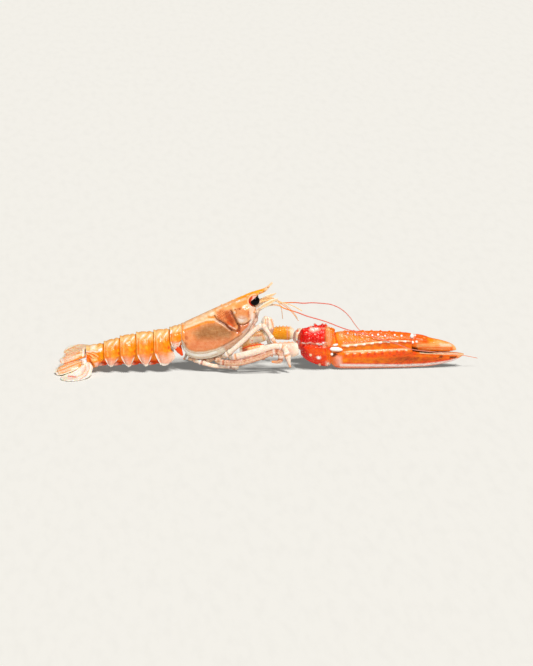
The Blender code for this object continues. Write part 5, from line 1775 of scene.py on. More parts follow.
# Spines of the wrist: share of its length, angle round it in degrees (90 is the top, 180 the
# outer side), height and radius in mm.
WRIST_SPINES = (
    (0.20, 97, 2.0, 1.7), (0.34, 92, 2.8, 2.4), (0.45, 99, 1.8, 1.6), (0.55, 92, 3.2, 3.2),
    (0.65, 90, 2.8, 2.8), (0.75, 98, 1.2, 1.4), (0.18, 128, 1.2, 1.1), (0.33, 120, 1.8, 1.3),
    (0.52, 116, 1.6, 1.3), (0.66, 122, 1.2, 1.2), (0.27, 110, 1.4, 1.1), (0.60, 110, 1.4, 1.1),
    (0.10, 110, 1.8, 1.3), (0.11, 142, 1.6, 1.3), (0.10, 176, 1.8, 1.4), (0.11, 205, 1.5, 1.2),
    (0.26, 172, 1.2, 1.0), (0.40, 170, 1.3, 1.1), (0.56, 171, 1.5, 1.1), (0.68, 167, 1.6, 1.2),
    (0.80, 168, 1.5, 1.1), (0.34, 208, 0.9, 1.0), (0.55, 204, 1.2, 1.1), (0.72, 207, 1.0, 1.2),
    (0.46, 236, 1.2, 1.0), (0.66, 232, 1.5, 1.1), (0.80, 238, 1.2, 1.0),
    (0.40, 60, 1.4, 1.1), (0.58, 56, 1.6, 1.1), (0.50, 20, 1.4, 1.1), (0.68, 16, 1.4, 1.0),
)
# Marks of the near wrist, seen from the side.
WRIST_MARKS = (
    ("area", "wrist_orange", 0.95, 2.0,
     ((30.7, 20.3), (58.5, 20.7), (59.4, -1.7), (46.7, -0.9), (38.3, 7.8), (32.4, 13.8))),
    ("area", "wrist_red", 0.7, 1.6,
     ((32.4, 19.0), (36.6, 19.8), (40.0, 13.8), (45.0, 7.8), (51.8, 4.3), (56.8, 0.4),
      (48.4, -0.4), (38.3, 6.9), (32.4, 13.8))),
    ("area", "claw_orange", 0.45, 2.0,
     ((41.7, 15.5), (51.8, 16.4), (56.0, 12.1), (48.4, 12.1), (41.7, 12.9))),
    ("area", "wrist_deep", 0.5, 1.8,
     ((32.4, 30.2), (38.3, 27.6), (48.4, 25.9), (55.2, 24.1), (51.8, 21.6), (34.9, 21.6))),
    ("area", "wrist_deep", 0.5, 1.0,
     ((33.3, 19.0), (35.8, 19.0), (40.0, 11.2), (38.3, 8.6), (34.1, 13.8))),
    ("area", "blush", 0.85, 1.2,
     ((40.5, 32.8), (43.4, 34.7), (48.8, 34.5), (49.6, 31.9), (45.0, 30.7), (41.3, 31.0))),
    # A white line on the pale top patch: a painted highlight.
    ("line", "white", 0.8, 0.7, ((42.2, 33.3), (44.5, 32.1), (47.9, 33.4))),
    ("line", "claw_pink", 0.6, 0.9, ((49.3, 34.1), (52.6, 33.8), (57.2, 34.8))),
    ("line", "claw_pink", 0.7, 1.0,
     ((34.6, 21.6), (38.3, 20.9), (41.3, 21.9), (45.0, 20.7), (48.4, 21.2), (52.6, 20.2))),
    ("line", "white", 0.8, 0.5, ((35.3, 21.9), (37.5, 20.9))),
    ("line", "white", 0.7, 0.45, ((39.2, 21.2), (42.0, 21.9))),
    ("line", "white", 1.0, 0.7, ((47.4, 20.9), (49.6, 20.3), (51.3, 20.5))),
    ("spot", "claw_pink", 0.8, 0.7, ((38.7, 30.0), (45.6, 28.6), (36.3, 32.4), (51.4, 26.2))),
    ("spot", "blush", 0.8, 0.5, ((38.7, 30.2), (45.6, 28.8), (40.8, 25.5))),
    ("area", "claw_pink", 0.9, 0.7,
     ((51.6, 20.3), (53.8, 21.6), (56.0, 20.3), (55.5, 17.8), (52.6, 17.6))),
    ("line", "white", 0.9, 0.5, ((52.1, 21.7), (54.3, 22.4), (56.5, 21.4))),
    ("area", "white", 1.0, 0.6,
     ((46.7, 10.2), (48.6, 11.2), (50.9, 10.0), (50.4, 8.4), (47.9, 8.6))),
    ("area", "claw_cream", 0.95, 0.5, ((40.8, 12.6), (42.5, 12.9), (43.5, 11.4), (42.2, 10.5))),
    ("area", "claw_cream", 0.9, 0.5, ((48.4, 3.4), (50.1, 4.0), (51.1, 2.4), (49.6, 1.7))),
    ("spot", "claw_amber", 0.8, 0.5, ((44.4, 6.0), (37.8, 14.1), (53.1, 13.8))),
    ("area", "blush", 0.85, 1.3, ((54.8, 6.0), (58.5, 6.7), (59.4, 1.2), (55.5, 0.5))),
    ("spot", "white", 0.8, 0.9, ((56.8, 4.0),)),
    # Painted shade in the crease at the wrist's front.
    ("area", "groove", 0.9, 0.8, ((53.5, 27.1), (55.0, 27.4), (55.2, 23.1), (54.0, 22.4))),
)
# The soft joint between wrist and palm, and what lies round it.
COLLAR_MARKS = (
    ("area", "claw_amber", 0.85, 2.0, ((54.8, 34.5), (66.9, 36.2), (66.9, 19.0), (54.8, 19.0))),
    ("area", "claw_pink", 0.60, 2.4,
     ((55.2, 31.4), (58.2, 31.9), (59.7, 26.7), (59.4, 19.8), (55.7, 19.8))),
    ("area", "claw_orange", 0.7, 1.2, ((58.5, 33.1), (61.0, 33.6), (61.0, 27.6), (59.4, 25.9))),
    ("line", "wrist_orange", 0.8, 1.0, ((62.4, 32.8), (62.6, 27.6), (64.2, 23.3), (64.1, 19.5))),
    ("area", "claw_peach", 0.7, 0.8, ((55.5, 34.8), (58.0, 35.0), (57.7, 32.6), (55.8, 32.2))),
    ("line", "wrist_orange", 0.40, 1.2, ((60.9, 31.9), (61.2, 25.9), (60.2, 20.7))),
    ("area", "claw_orange", 0.8, 1.2,
     ((55.2, 16.4), (59.4, 15.0), (61.0, 9.5), (59.4, 3.4), (56.0, 5.2))),
    ("area", "claw_pink", 0.65, 3.2,
     ((61.6, 10.3), (67.8, 10.9), (72.0, 8.6), (72.0, 2.2), (62.7, 1.4))),
    ("line", "wrist_orange", 0.7, 0.8, ((56.0, 1.0), (61.0, 0.7), (65.8, 1.4))),
    # Painted shade under the white knuckle at the joint.
    ("area", "dark", 0.85, 0.9,
     ((59.7, 12.6), (63.2, 13.3), (64.8, 11.7), (61.9, 9.5), (59.9, 10.0))),
)
# Heights of the near wrist in mm, and the marks of the far one.
WRIST_HEIGHTS = (
    ("area", "", 0.9, 2.6, ((34.1, 31.9), (48.4, 33.6), (56.0, 32.8), (55.2, 23.3), (36.6, 22.4))),
    ("area", "", 0.9, 2.6, ((35.8, 17.2), (55.2, 18.1), (56.8, 3.4), (48.4, 5.2), (40.8, 10.3))),
    ("line", "", -1.3, 1.3,
     ((34.1, 20.2), (38.3, 19.8), (41.7, 20.7), (45.0, 19.5), (50.1, 19.3), (54.3, 19.0))),
    ("spot", "", 0.8, 1.0,
     ((38.7, 30.0), (45.6, 28.6), (42.2, 11.7), (49.8, 2.9), (49.8, 20.5), (54.0, 19.5))),
    ("spot", "", 1.2, 1.8, ((48.8, 9.8),)),
    ("area", "", 0.8, 1.4, ((40.8, 31.9), (43.4, 34.5), (48.4, 34.1), (48.9, 31.4))),
    ("line", "", -0.9, 0.8, ((55.2, 32.8), (54.8, 22.4), (56.0, 13.8), (57.7, 1.7))),
)
FAR_WRIST_MARKS = (
    ("area", "pale_peach", 0.95, 1.2, ((21.5, 37.9), (35.8, 37.9), (35.8, 17.2), (21.5, 17.2))),
    ("spot", "wrist_orange", 0.85, 1.3,
     ((27.9, 35.0), (31.2, 32.1), (26.9, 30.2), (32.4, 27.6), (31.1, 22.4))),
    ("spot", "white", 0.9, 1.0,
     ((29.4, 33.4), (25.7, 32.2), (29.1, 29.0), (32.4, 30.3), (30.2, 24.7), (32.1, 19.8))),
    ("area", "wrist_red", 0.95, 0.7, ((25.2, 27.1), (29.4, 27.4), (29.7, 24.0), (25.5, 23.3))),
    ("line", "leg_rust", 0.5, 0.7, ((29.4, 20.7), (30.4, 15.9))),
)
# Marks of the first arm joint and of the far second one.
ARM_ROOT_MARKS = (
    ("area", "leg_cream", 0.75, 1.2, ((-9.7, 26.7), (1.3, 27.6), (2.1, 21.6), (-8.8, 21.0))),
    ("area", "claw_peach", 0.7, 1.0, ((-17.3, 22.4), (-9.7, 23.3), (-9.7, 16.7), (-15.6, 16.4))),
    ("line", "wrist_orange", 0.95, 0.8, ((-14.7, 16.9), (-9.7, 18.8), (-2.1, 20.2), (7.2, 21.2))),
    ("line", "orange", 0.8, 0.8, ((-14.7, 18.6), (-8.8, 20.5), (-2.1, 21.7))),
    ("area", "leg_red", 0.85, 0.8, ((-15.6, 16.7), (-10.9, 17.1), (-10.5, 14.7), (-15.6, 14.3))),
    ("spot", "claw_pink", 0.9, 0.9, ((-7.2, 23.6), (-7.0, 21.0))),
    ("area", "leg_rust", 0.45, 0.9, ((-5.5, 28.4), (2.1, 29.8), (2.1, 27.6), (-5.5, 26.6))),
)
FAR_ARM_MARKS = (
    ("area", "tail_amber", 0.8, 3.0, ((9.7, 36.2), (23.2, 36.2), (24.0, 22.4), (9.7, 22.4))),
    ("area", "claw_peach", 0.8, 1.2,
     ((10.5, 39.7), (25.7, 39.7), (25.7, 35.7), (21.5, 34.8), (16.4, 35.3), (10.5, 34.1))),
    ("line", "fan_rib", 0.6, 0.5, ((12.2, 35.9), (17.3, 36.9), (24.0, 36.4))),
    ("area", "leg_cream", 0.9, 1.1,
     ((5.5, 22.9), (13.1, 23.8), (24.8, 23.3), (34.9, 23.1), (34.9, 17.2), (5.5, 17.2))),
    ("area", "pale_peach", 0.8, 1.2, ((24.5, 36.2), (27.4, 36.2), (27.4, 22.4), (25.7, 22.4))),
    ("line", "claw_pink", 0.6, 0.8, ((22.7, 35.0), (23.0, 24.7))),
)


def outer(angle, side):
    """The angle round a limb, turned so that 180 degrees is the outer side on both sides."""
    return angle if side == NEAR else math.pi - angle


def spike_field(t, angle, spines, length, girth):
    """For a list of spines, the height and the whiteness at each point: cones of the distance
    from each spine's foot, measured on the surface."""
    height = np.zeros(t.shape)
    white = np.zeros(t.shape)
    for place, degrees, tall, radius in spines:
        turn = (angle - math.radians(degrees) + math.pi) % TAU - math.pi
        distance = np.hypot((t - place) * length, turn * girth)
        cone = np.clip(1 - distance / radius, 0, 1) ** 1.5
        height = np.maximum(height, tall * cone)
        white = np.maximum(white, ease(0.25, 0.75, cone))
    return height, white


def wrist_part(side, c, spine_scale):
    """The wrist: a tube pressed into an upper and a lower block with a crease between, with rows
    of thorns, low scales and a pale joint collar at its front."""
    points, _, angle = tube(CARPUS[side], 190, 230, side)
    t = share_grid(points)
    turn = angle[None] * np.ones_like(t)
    height, white = spike_field(t, turn % TAU, WRIST_SPINES, WRIST_LENGTH, WRIST_GIRTH)
    scales = np.maximum(ripple(points, 2.6, 0.5), 0)
    relief = height * spine_scale + 0.30 * scales + 0.25 * ripple(points, 9.0, 1.0)
    paint = coloured(
        points, c, "wrist_red",
        ("wrist_deep", 0.45 * ease(0.0, 0.7, ripple(points, 6.0, 2.0))),
        ("wrist_orange", 0.6 * ease(0.25, 0.7, scales)),
        ("claw_pink", 0.55 * ease(0.5, 0.9, white)),
    )
    flecks = ease(0.30, 0.55, ripple(points, 2.2, 4.1))
    paint = tinted(paint, c["blush"], 0.55 * flecks * ease(0.0, 0.4, ripple(points, 7.0, 3.3)))
    middle = WRIST_MIDDLE[side]
    view = side_view(points, middle, 0.15)
    rough = np.abs(ripple(points, 5.0, 2.7))
    relief = relief + 0.5 * (0.3 - rough) * ease(0.10, 0.25, t)
    if side == NEAR:
        relief = relief + embossed(view, WRIST_HEIGHTS)
        paint = marked(paint, side_view(points, middle, 0.4), WRIST_MARKS + COLLAR_MARKS, c)
    else:
        behind = ease(*FAR_WRIST_FADE, points[..., 1])[..., None]
        paint = behind * paint + (1 - behind) * marked(paint, view, FAR_WRIST_MARKS, c)
    rim = (1 - ease(0.94, 1.0, t)) * ease(0.0, 0.08, t)
    return raised(points, relief * rim), paint


def wrist_skin(side, c):
    """The soft joint between wrist and palm: a short oval tube, salmon with cream folds."""
    x, y, z, wide, high = CARPUS[side][-1]
    stations = [(x - 3.0, y, z, wide - 0.2, high - 0.2), (x + 0.6, y, z, wide + 0.1, high + 0.4),
                (x + 3.4, y, z, wide - 0.4, high)]
    points, _, _ = tube(stations, 40, 90, side)
    fold = np.cos(share_grid(points) * 5 * TAU)
    paint = coloured(points, c, "plate_salmon", ("claw_cream", 0.4 * ease(0.2, 0.9, fold)))
    if side == NEAR:
        paint = marked(paint, side_view(points, CLAW_MIDDLE, 0.4), COLLAR_MARKS, c)
    return raised(points, 0.12 * fold + 0.3 * ripple(points, 6.0, 0.4)), paint


def thigh_part(stations, side, c, shaft, line):
    """The upper arm joints: a tube with pale ends, a row of small spines on top and low bumps."""
    points, _, angle = tube(stations, 110, 80, side)
    t = share_grid(points)
    turn = outer(angle, side)[None] * np.ones_like(t)
    spines = [(place, 88, 1.5, 1.1) for place in np.linspace(0.2, 0.85, 6)]
    spines += [(place, 150, 0.8, 0.9) for place in np.linspace(0.25, 0.85, 5)]
    height, white = spike_field(t, turn % TAU, spines, 27.0, 5.5)
    relief = height + 0.16 * ripple(points, 3.2, 0.7) - 0.3 * hump(t, 0.12, 0.03)
    paint = tinted(flat_paint(points, shaft), line, 0.5 * ease(0.0, 0.6, ripple(points, 9.0, 0.4)))
    paint = layered(
        paint, c,
        ("leg_cream", 0.85 * (1 - ease(0.05, 0.2, t)) + 0.85 * ease(0.82, 0.95, t)),
        ("claw_amber", 0.7 * hump(np.degrees(turn) % 360, 90, 18) * band(0.15, 0.9, 0.05, t)),
        ("white", 0.8 * white * ease(0, 0.2, height)),
    )
    if side == FAR:
        paint = marked(paint, side_view(points, 13.0), FAR_ARM_MARKS, c)
    return raised(points, relief * (1 - ease(0.93, 1.0, t))), paint


class LANGOUSTINE_OT_claw_arms(bpy.types.Operator):
    """Make the three joints of each claw arm, with the red spiny wrist"""

    bl_idname = "langoustine.claw_arms"
    bl_label = "Claw arms"

    def execute(self, context):
        c = colours()
        spine_scale = sizes().wrist_spine / (WRIST_SPINE * MM)
        for side, word in SIDES:
            pale = c["leg_cream"] * 0.55 + c["plate_pink"] * 0.45
            shaft = c["claw_amber"] if side == FAR else pale
            line = c["claw_orange"] if side == FAR else c["plate_pink"]
            points, paint = thigh_part(ISCHIUM[side], side, c, c["claw_peach"], c["leg_tan"])
            part = points, marked(paint, side_view(points, UNMIRRORED), ARM_ROOT_MARKS, c)
            add_piece(f"arm_first_{word}", [part], shell_finish("leg_shell"), "shell_leg",
                      f"claw_ischium_{word}")
            part = thigh_part(MERUS[side], side, c, shaft, line)
            slot = "shell_claw" if side == FAR else "shell_leg"
            add_piece(f"arm_second_{word}", [part], shell_finish("claw_shell"), slot,
                      f"claw_merus_{word}")
            parts = [wrist_part(side, c, spine_scale), wrist_skin(side, c)]
            add_piece(f"arm_wrist_{word}", parts, shell_finish("claw_shell"), "shell_red",
                      f"claw_carpus_{word}")
        return {"FINISHED"}


# ---------------------------------------------------------------- claws

# Palm and fixed finger: x, y, half width, z of the bottom, z of the top.
PROPODUS = np.array(
    (
        (59.4, -7.0, 6.4, 4.4, 29.6),
        (63.0, -7.0, 7.8, 1.7, 32.2),
        (68.0, -6.6, 9.2, 0.7, 32.8),
        (85.0, -6.5, 9.6, 0.3, 32.6),
        (105.0, -6.5, 9.4, 0.3, 31.5),
        (120.0, -6.6, 8.8, 0.4, 30.2),
        (126.4, -6.8, 8.2, 0.6, 29.2),
        (127.2, -6.8, 7.8, 0.7, 15.2),
        (140.0, -7.0, 6.8, 1.3, 13.2),
        (152.0, -7.4, 5.4, 3.2, 12.6),
        (162.0, -7.8, 3.8, 5.6, 12.2),
        (168.0, -8.2, 2.2, 8.6, 11.9),
        (171.0, -8.4, 0.7, 10.6, 11.6),
    )
)
# Its cross-section, a closed row of points: how far across (-1 is the near face) and how far up.
SECTION = np.array(
    (
        (-0.15, 1.00), (-0.52, 0.93), (-0.78, 0.83), (-0.98, 0.73), (-0.93, 0.60), (-1.00, 0.46),
        (-0.92, 0.26), (-0.64, 0.08), (-0.25, 0.00), (0.25, 0.02), (0.75, 0.15), (1.00, 0.45),
        (0.90, 0.75), (0.45, 0.95),
    )
)
SECTION_POINTS = len(SECTION)
DACTYL = (
    (125.4, -7.0, 22.8, 5.2, 5.0),
    (127.2, -7.0, 22.7, 6.0, 6.0),
    (129.4, -7.0, 22.6, 6.2, 6.2),
    (134.0, -7.0, 21.8, 6.4, 6.4),
    (142.0, -7.2, 20.0, 5.6, 5.6),
    (150.0, -7.4, 18.9, 4.8, 4.9),
    (158.0, -7.8, 17.6, 3.6, 3.7),
    (162.0, -8.0, 16.4, 2.2, 2.4),
    (164.5, -8.2, 15.2, 0.6, 0.7),
)
# Marks of the moving finger: the first lie under its streaks, the others over them.
FINGER_CLOUDS = (
    ("area", "wrist_orange", 0.45, 2.0,
     ((127.6, 29.3), (142.7, 27.6), (144.4, 22.4), (127.6, 21.6))),
    ("area", "claw_amber", 0.9, 1.8,
     ((141.0, 26.7), (151.1, 25.0), (161.2, 22.4), (159.6, 19.8), (141.0, 20.7))),
    # A pale streak over the upper side: a painted highlight.
    ("area", "claw_peach", 0.5, 1.4, ((146.1, 24.6), (157.9, 22.4), (156.2, 21.0), (146.1, 22.4))),
)
FINGER_MARKS = (
    # The pale band and the white area below are painted highlights along the finger's side.
    ("area", "claw_peach", 0.80, 1.6,
     ((131.8, 20.5), (147.8, 21.2), (159.6, 21.6), (163.8, 19.4), (159.6, 18.1), (142.7, 18.1),
      (131.8, 18.3))),
    ("area", "white", 0.40, 1.6, ((151.1, 20.7), (161.2, 20.7), (161.2, 19.0), (151.1, 19.0))),
    ("line", "orange", 0.5, 0.6, ((134.3, 19.3), (151.1, 19.5))),
    ("area", "claw_orange", 0.8, 0.9,
     ((130.9, 17.6), (161.2, 17.6), (164.6, 16.4), (159.6, 13.8), (130.9, 13.8))),
    ("line", "claw_peach", 0.5, 0.5, ((136.0, 16.4), (159.6, 16.4))),
    ("area", "claw_peach", 0.85, 1.4,
     ((162.1, 21.6), (168.0, 19.8), (168.0, 13.8), (162.9, 13.8))),
    ("spot", "white", 0.9, 1.1, ((130.1, 28.4), (131.4, 22.8))),
    ("area", "claw_pink", 0.7, 0.7, ((126.7, 29.3), (129.7, 28.9), (129.3, 25.0), (126.7, 25.0))),
    # Painted shade in the gap over the fixed finger.
    ("area", "dark", 0.8, 0.6, ((126.7, 18.5), (132.2, 17.7), (133.5, 13.8), (126.7, 13.8))),
)
# White joint knobs of the claw: centre, radii, lean.
KNUCKLES = (
    ((62.6, -14.8, 18.6), (5.6, 1.5, 2.0), 0.10),
    ((61.9, -14.9, 22.4), (2.3, 1.2, 1.0), -0.2),
    ((58.9, -14.8, 14.3), (1.2, 1.0, 1.2), 0.0),
    ((126.6, -12.6, 28.4), (1.6, 1.3, 2.0), 0.1),
    ((127.0, -13.4, 23.2), (1.3, 1.2, 1.2), 0.0),
    ((126.8, -2.4, 26.4), (1.5, 1.3, 1.7), 0.0),
)
# The middle plane of the near claw, and where its rows of points begin, crowd and end.
CLAW_MIDDLE = -7.0
PALM_START, NOTCH_START, NOTCH_END, CLAW_TIP = 59.4, 126.2, 127.6, 171.0
# The row of PROPODUS with the palm's last full section.
LAST_FULL = 6
# From one blunt tooth of the cutting edges to the next.
BITE_SPACING = 3.1
NEAR_CLAW_ROOT = np.array((PALM_START, CLAW_MIDDLE, 16.4))
FAR_CLAW_ROOT = np.array((56.6, 19.8, 10.4))
FAR_CLAW_ROLL = math.radians(-70)
FAR_CLAW_SCALE = 0.93
# The pale band along the middle of the face.
PALM_BAND = ((69.5, 14.1), (75.4, 15.3), (92.2, 15.7), (109.0, 16.4), (124.2, 16.9), (125.9, 16.0),
             (114.1, 15.0), (97.3, 14.0), (82.1, 13.3), (71.2, 12.9))
# Marks of the claw's face, seen from the side.
PALM_MARKS = (
    ("area", "claw_amber", 0.55, 2.5, ((66.9, 9.5), (100.6, 9.1), (104.0, 5.2), (66.9, 4.7))),
    ("area", "claw_amber", 0.55, 3.0,
     ((65.3, 31.9), (90.5, 29.3), (100.6, 24.1), (93.9, 16.4), (66.9, 16.4))),
    ("area", "claw_orange", 0.9, 1.4,
     ((66.9, 34.5), (93.9, 33.6), (125.9, 32.8), (125.9, 28.4), (93.9, 29.3), (66.9, 31.9))),
    ("area", "wrist_orange", 0.20, 1.6,
     ((66.9, 34.5), (93.9, 33.6), (125.9, 32.8), (125.9, 26.4), (93.9, 27.3), (66.9, 29.9))),
    # The next two brown areas: painted shade over the palm's lower face, running on as a brown
    # streak along the fixed finger.
    ("area", "claw_brown", 0.55, 3.0,
     ((98.9, 8.6), (117.5, 10.8), (138.5, 9.5), (156.2, 9.5), (154.5, 6.0), (134.3, 4.7),
      (98.9, 5.2))),
    ("area", "claw_brown", 0.35, 2.5, ((73.7, 8.2), (98.9, 8.6), (98.9, 5.2), (73.7, 5.2))),
    # Painted shade on the lower face, before the fixed finger.
    ("area", "groove", 0.35, 2.0, ((115.1, 9.9), (131.3, 9.5), (133.9, 7.3), (113.1, 6.9))),
    ("area", "wrist_orange", 0.6, 1.6,
     ((71.2, 11.2), (100.6, 12.5), (127.6, 14.2), (134.3, 12.5), (127.6, 9.9), (100.6, 9.5),
      (71.2, 8.6))),
    ("area", "claw_peach", 0.85, 1.0, PALM_BAND),
    ("line", "claw_cream", 0.7, 0.5, ((72.0, 13.8), (83.8, 14.5), (100.6, 15.2), (120.8, 16.2))),
    ("line", "wrist_orange", 0.6, 0.7, ((69.5, 4.1), (117.5, 4.1), (142.7, 5.5), (159.6, 7.4))),
    ("line", "claw_strip", 0.95, 1.35,
     ((67.8, 2.6), (117.5, 2.2), (138.5, 2.9), (151.1, 4.4), (159.6, 5.8), (165.5, 7.6))),
    ("line", "white", 0.5, 0.5, ((70.3, 2.6), (117.5, 2.4), (138.5, 3.2), (151.1, 4.7))),
    ("area", "claw_pink", 0.95, 0.6,
     ((62.7, 1.0), (117.5, 0.9), (134.3, 1.6), (147.8, 3.2), (155.4, 4.0), (155.4, -3.4),
      (62.7, -3.4))),
    ("line", "claw_orange", 0.8, 0.9, ((129.3, 10.7), (151.1, 10.3), (169.7, 10.5))),
    ("line", "claw_cream", 0.95, 0.9, ((135.1, 13.3), (151.1, 12.6), (171.4, 11.7))),
    # Painted shade: two dark patches below the fixed finger's cutting edge.
    ("area", "dark", 0.75, 0.7, ((150.7, 10.7), (153.7, 11.0), (153.2, 8.8), (150.7, 9.1))),
    ("area", "dark", 0.8, 0.7, ((159.6, 10.0), (165.5, 10.3), (164.6, 8.4), (159.6, 8.3))),
    ("area", "claw_peach", 0.85, 1.6, ((166.3, 12.9), (174.7, 12.9), (174.7, 7.8), (167.1, 7.8))),
    ("area", "claw_peach", 0.45, 2.2, ((63.6, 34.5), (69.5, 34.5), (70.5, 26.3), (63.6, 23.3))),
    ("area", "claw_strip", 0.6, 2.0, ((64.7, 9.8), (67.8, 9.8), (68.2, 3.0), (64.7, 3.0))),
    ("area", "claw_orange", 0.6, 1.4, ((56.8, 1.2), (64.4, 1.2), (64.4, -1.7), (56.8, -1.7))),
    # Painted shade: a thin dark line under the knuckle at the palm's root.
    ("line", "dark", 0.55, 0.6, ((64.1, 13.4), (66.4, 13.6), (67.8, 14.7))),
    ("area", "wrist_orange", 0.8, 0.8,
     ((125.5, 26.3), (129.3, 25.9), (129.3, 21.6), (125.9, 21.1))),
    # Painted shade in the gap between the fingers.
    ("area", "dark", 0.85, 0.7, ((127.1, 19.0), (132.6, 18.4), (133.5, 14.7), (127.1, 15.5))),
)
# Knobs along the top of the palm, seen from the side: each is raised and carries a painted
# highlight.
PALM_KNOBS = ((73.4, 29.6), (79.6, 28.6), (86.0, 29.4), (94.0, 27.9), (98.8, 28.5), (104.8, 27.5),
              (112.9, 28.1), (118.6, 27.4))
# The saw ridge and the lower row of bumps: place on the cross-section, first x and spacing.
SAW_AT, SAW_START, SAW_SPACING = 3.0, 67.0, 6.9
BUMPS_AT, BUMPS_START, BUMPS_SPACING = 5.0, 67.4, 6.2
# Rows of teeth: place on the cross-section in its points, first and last x, spacing, height as a
# share of the tooth height, and whether it is a round bump or a saw tooth.
TOOTH_ROWS = (
    (0.2, 66.6, 111.0, 7.5, 1.15, "round"),
    (SAW_AT, SAW_START, 126.0, SAW_SPACING, 1.05, "saw"),
    (BUMPS_AT, BUMPS_START, 128.0, BUMPS_SPACING, 0.75, "round"),
    (12.6, 70.0, 126.0, 6.6, 0.8, "round"),
    (11.2, 70.0, 128.0, 6.6, 0.7, "saw"),
)
# Height of the knobs, which carry painted highlights, as a share of the tooth height.
KNOB_SHARE = 0.72
# Above this share of the palm's height the section is pressed flat where the finger begins.
NOTCH_UP = 0.51


def section_points(s):
    """The closed cross-section read at s, counted in its points: smooth curves through them."""
    wrapped = np.concatenate((SECTION[-2:], SECTION, SECTION[:3]))
    return curve(np.arange(-2, len(SECTION) + 3), wrapped, s)


def tooth_row(x, s, row):
    """Height and whiteness of one row of teeth: a saw climbs towards the tip and drops, a round
    bump is a bell, and both are narrow across the row."""
    at, first, last, spacing, tall, kind = row
    across = (s - at + SECTION_POINTS / 2) % SECTION_POINTS - SECTION_POINTS / 2
    ends = ease(first - 1, first + 2, x) * (1 - ease(last - 2, last + 1, x))
    phase = ((x - first) / spacing) % 1
    if kind == "round":
        along = hump((phase - 0.5) * spacing, 0, 1.25)
        wide = hump(across, 0, 0.20)
    else:
        along = 1.6 * phase**1.3 * (1 - ease(0.80, 1.0, phase))
        wide = hump(across, 0, 0.24)
    ridge = 0.35 * hump(across, 0, 0.30) * (kind == "saw")
    return ends * tall * (along * wide + ridge), ends * along * wide


def palm_part(c, tooth):
    """Palm and fixed finger: the cross-section is placed by its across and up shares between the
    bottom and the top at each x. Its ridges climb towards the tip, and past the notch everything
    above the fixed finger is pressed flat. Rows of teeth are raised on it."""
    x = np.concatenate(
        (
            np.linspace(PALM_START, NOTCH_START, 215, endpoint=False),
            np.linspace(NOTCH_START, NOTCH_END, 12, endpoint=False),
            np.linspace(NOTCH_END, CLAW_TIP, 105),
        )
    )
    middle, half, bottom, top = curve(PROPODUS[:, 0], PROPODUS[:, 1:], x).T[:, :, None]
    s = np.linspace(0, SECTION_POINTS, 252, endpoint=False)
    across, up = section_points(s).T[:, None]
    along = x[:, None]
    past = ease(126.2, 127.5, along)
    climb = (0.19 * ease(62, 124, along) - 0.095) * (1 - 0.6 * ease(127, 150, along))
    up = up + climb * hump(up, 0.65, 0.25)
    tall = (top - bottom) / (1 - past * (1 - NOTCH_UP))
    full = PROPODUS[LAST_FULL, 4] - PROPODUS[LAST_FULL, 3]
    tall = np.where(along < 127.2, np.minimum(tall, full), tall)
    tall = np.where(along < 126.3, top - bottom, tall)
    level = np.where(up > NOTCH_UP, NOTCH_UP + (up - NOTCH_UP) * (1 - 0.96 * past), up)
    y = middle + half * across
    z = bottom + tall * level
    xx = along * np.ones_like(across)
    points = np.stack((xx, y, z), axis=2)
    ss = s[None] * np.ones_like(xx)
    relief = 0.12 * ripple(points, 6.0, 0.3)
    tips = np.zeros_like(xx)
    for row in TOOTH_ROWS:
        height, white = tooth_row(xx, ss, row)
        relief = relief + height * tooth
        if row[0] == SAW_AT:
            tips = white
    view = side_view(points, CLAW_MIDDLE, 0.1)
    relief = relief + KNOB_SHARE * tooth * mark_mask(view, ("spot", "", 1, 1.2, PALM_KNOBS))
    face = band(5.4, 7.2, 0.4, ss)
    relief = relief + 0.25 * face + 0.12 * np.maximum(ripple(points, 1.9, 0.2), 0) * (across < 0)
    relief = relief - 0.35 * mark_mask(view, ("line", "", 1, 0.6, PALM_BAND))
    finger = ease(127.4, 129.0, xx)
    cutting = np.maximum(hump(ss, 0, 0.9), hump(ss, SECTION_POINTS, 0.9))
    bite = 0.5 + 0.5 * np.abs(np.sin((xx - 128) * math.pi / BITE_SPACING))
    blunt = (0.4 + 1.5 * (1 - ease(136, 150, xx))) * (1 - ease(160, 167, xx))
    relief = relief + finger * cutting * bite * blunt
    relief = relief * ease(PALM_START, 62.0, xx) * (1 - ease(167, 170.5, xx))
    relief = relief * (1 - hump(xx, 126.8, 0.6) * (up > NOTCH_UP))
    return raised(points, relief), palm_paint(points, xx, ss, across * np.ones_like(xx), tips, c)


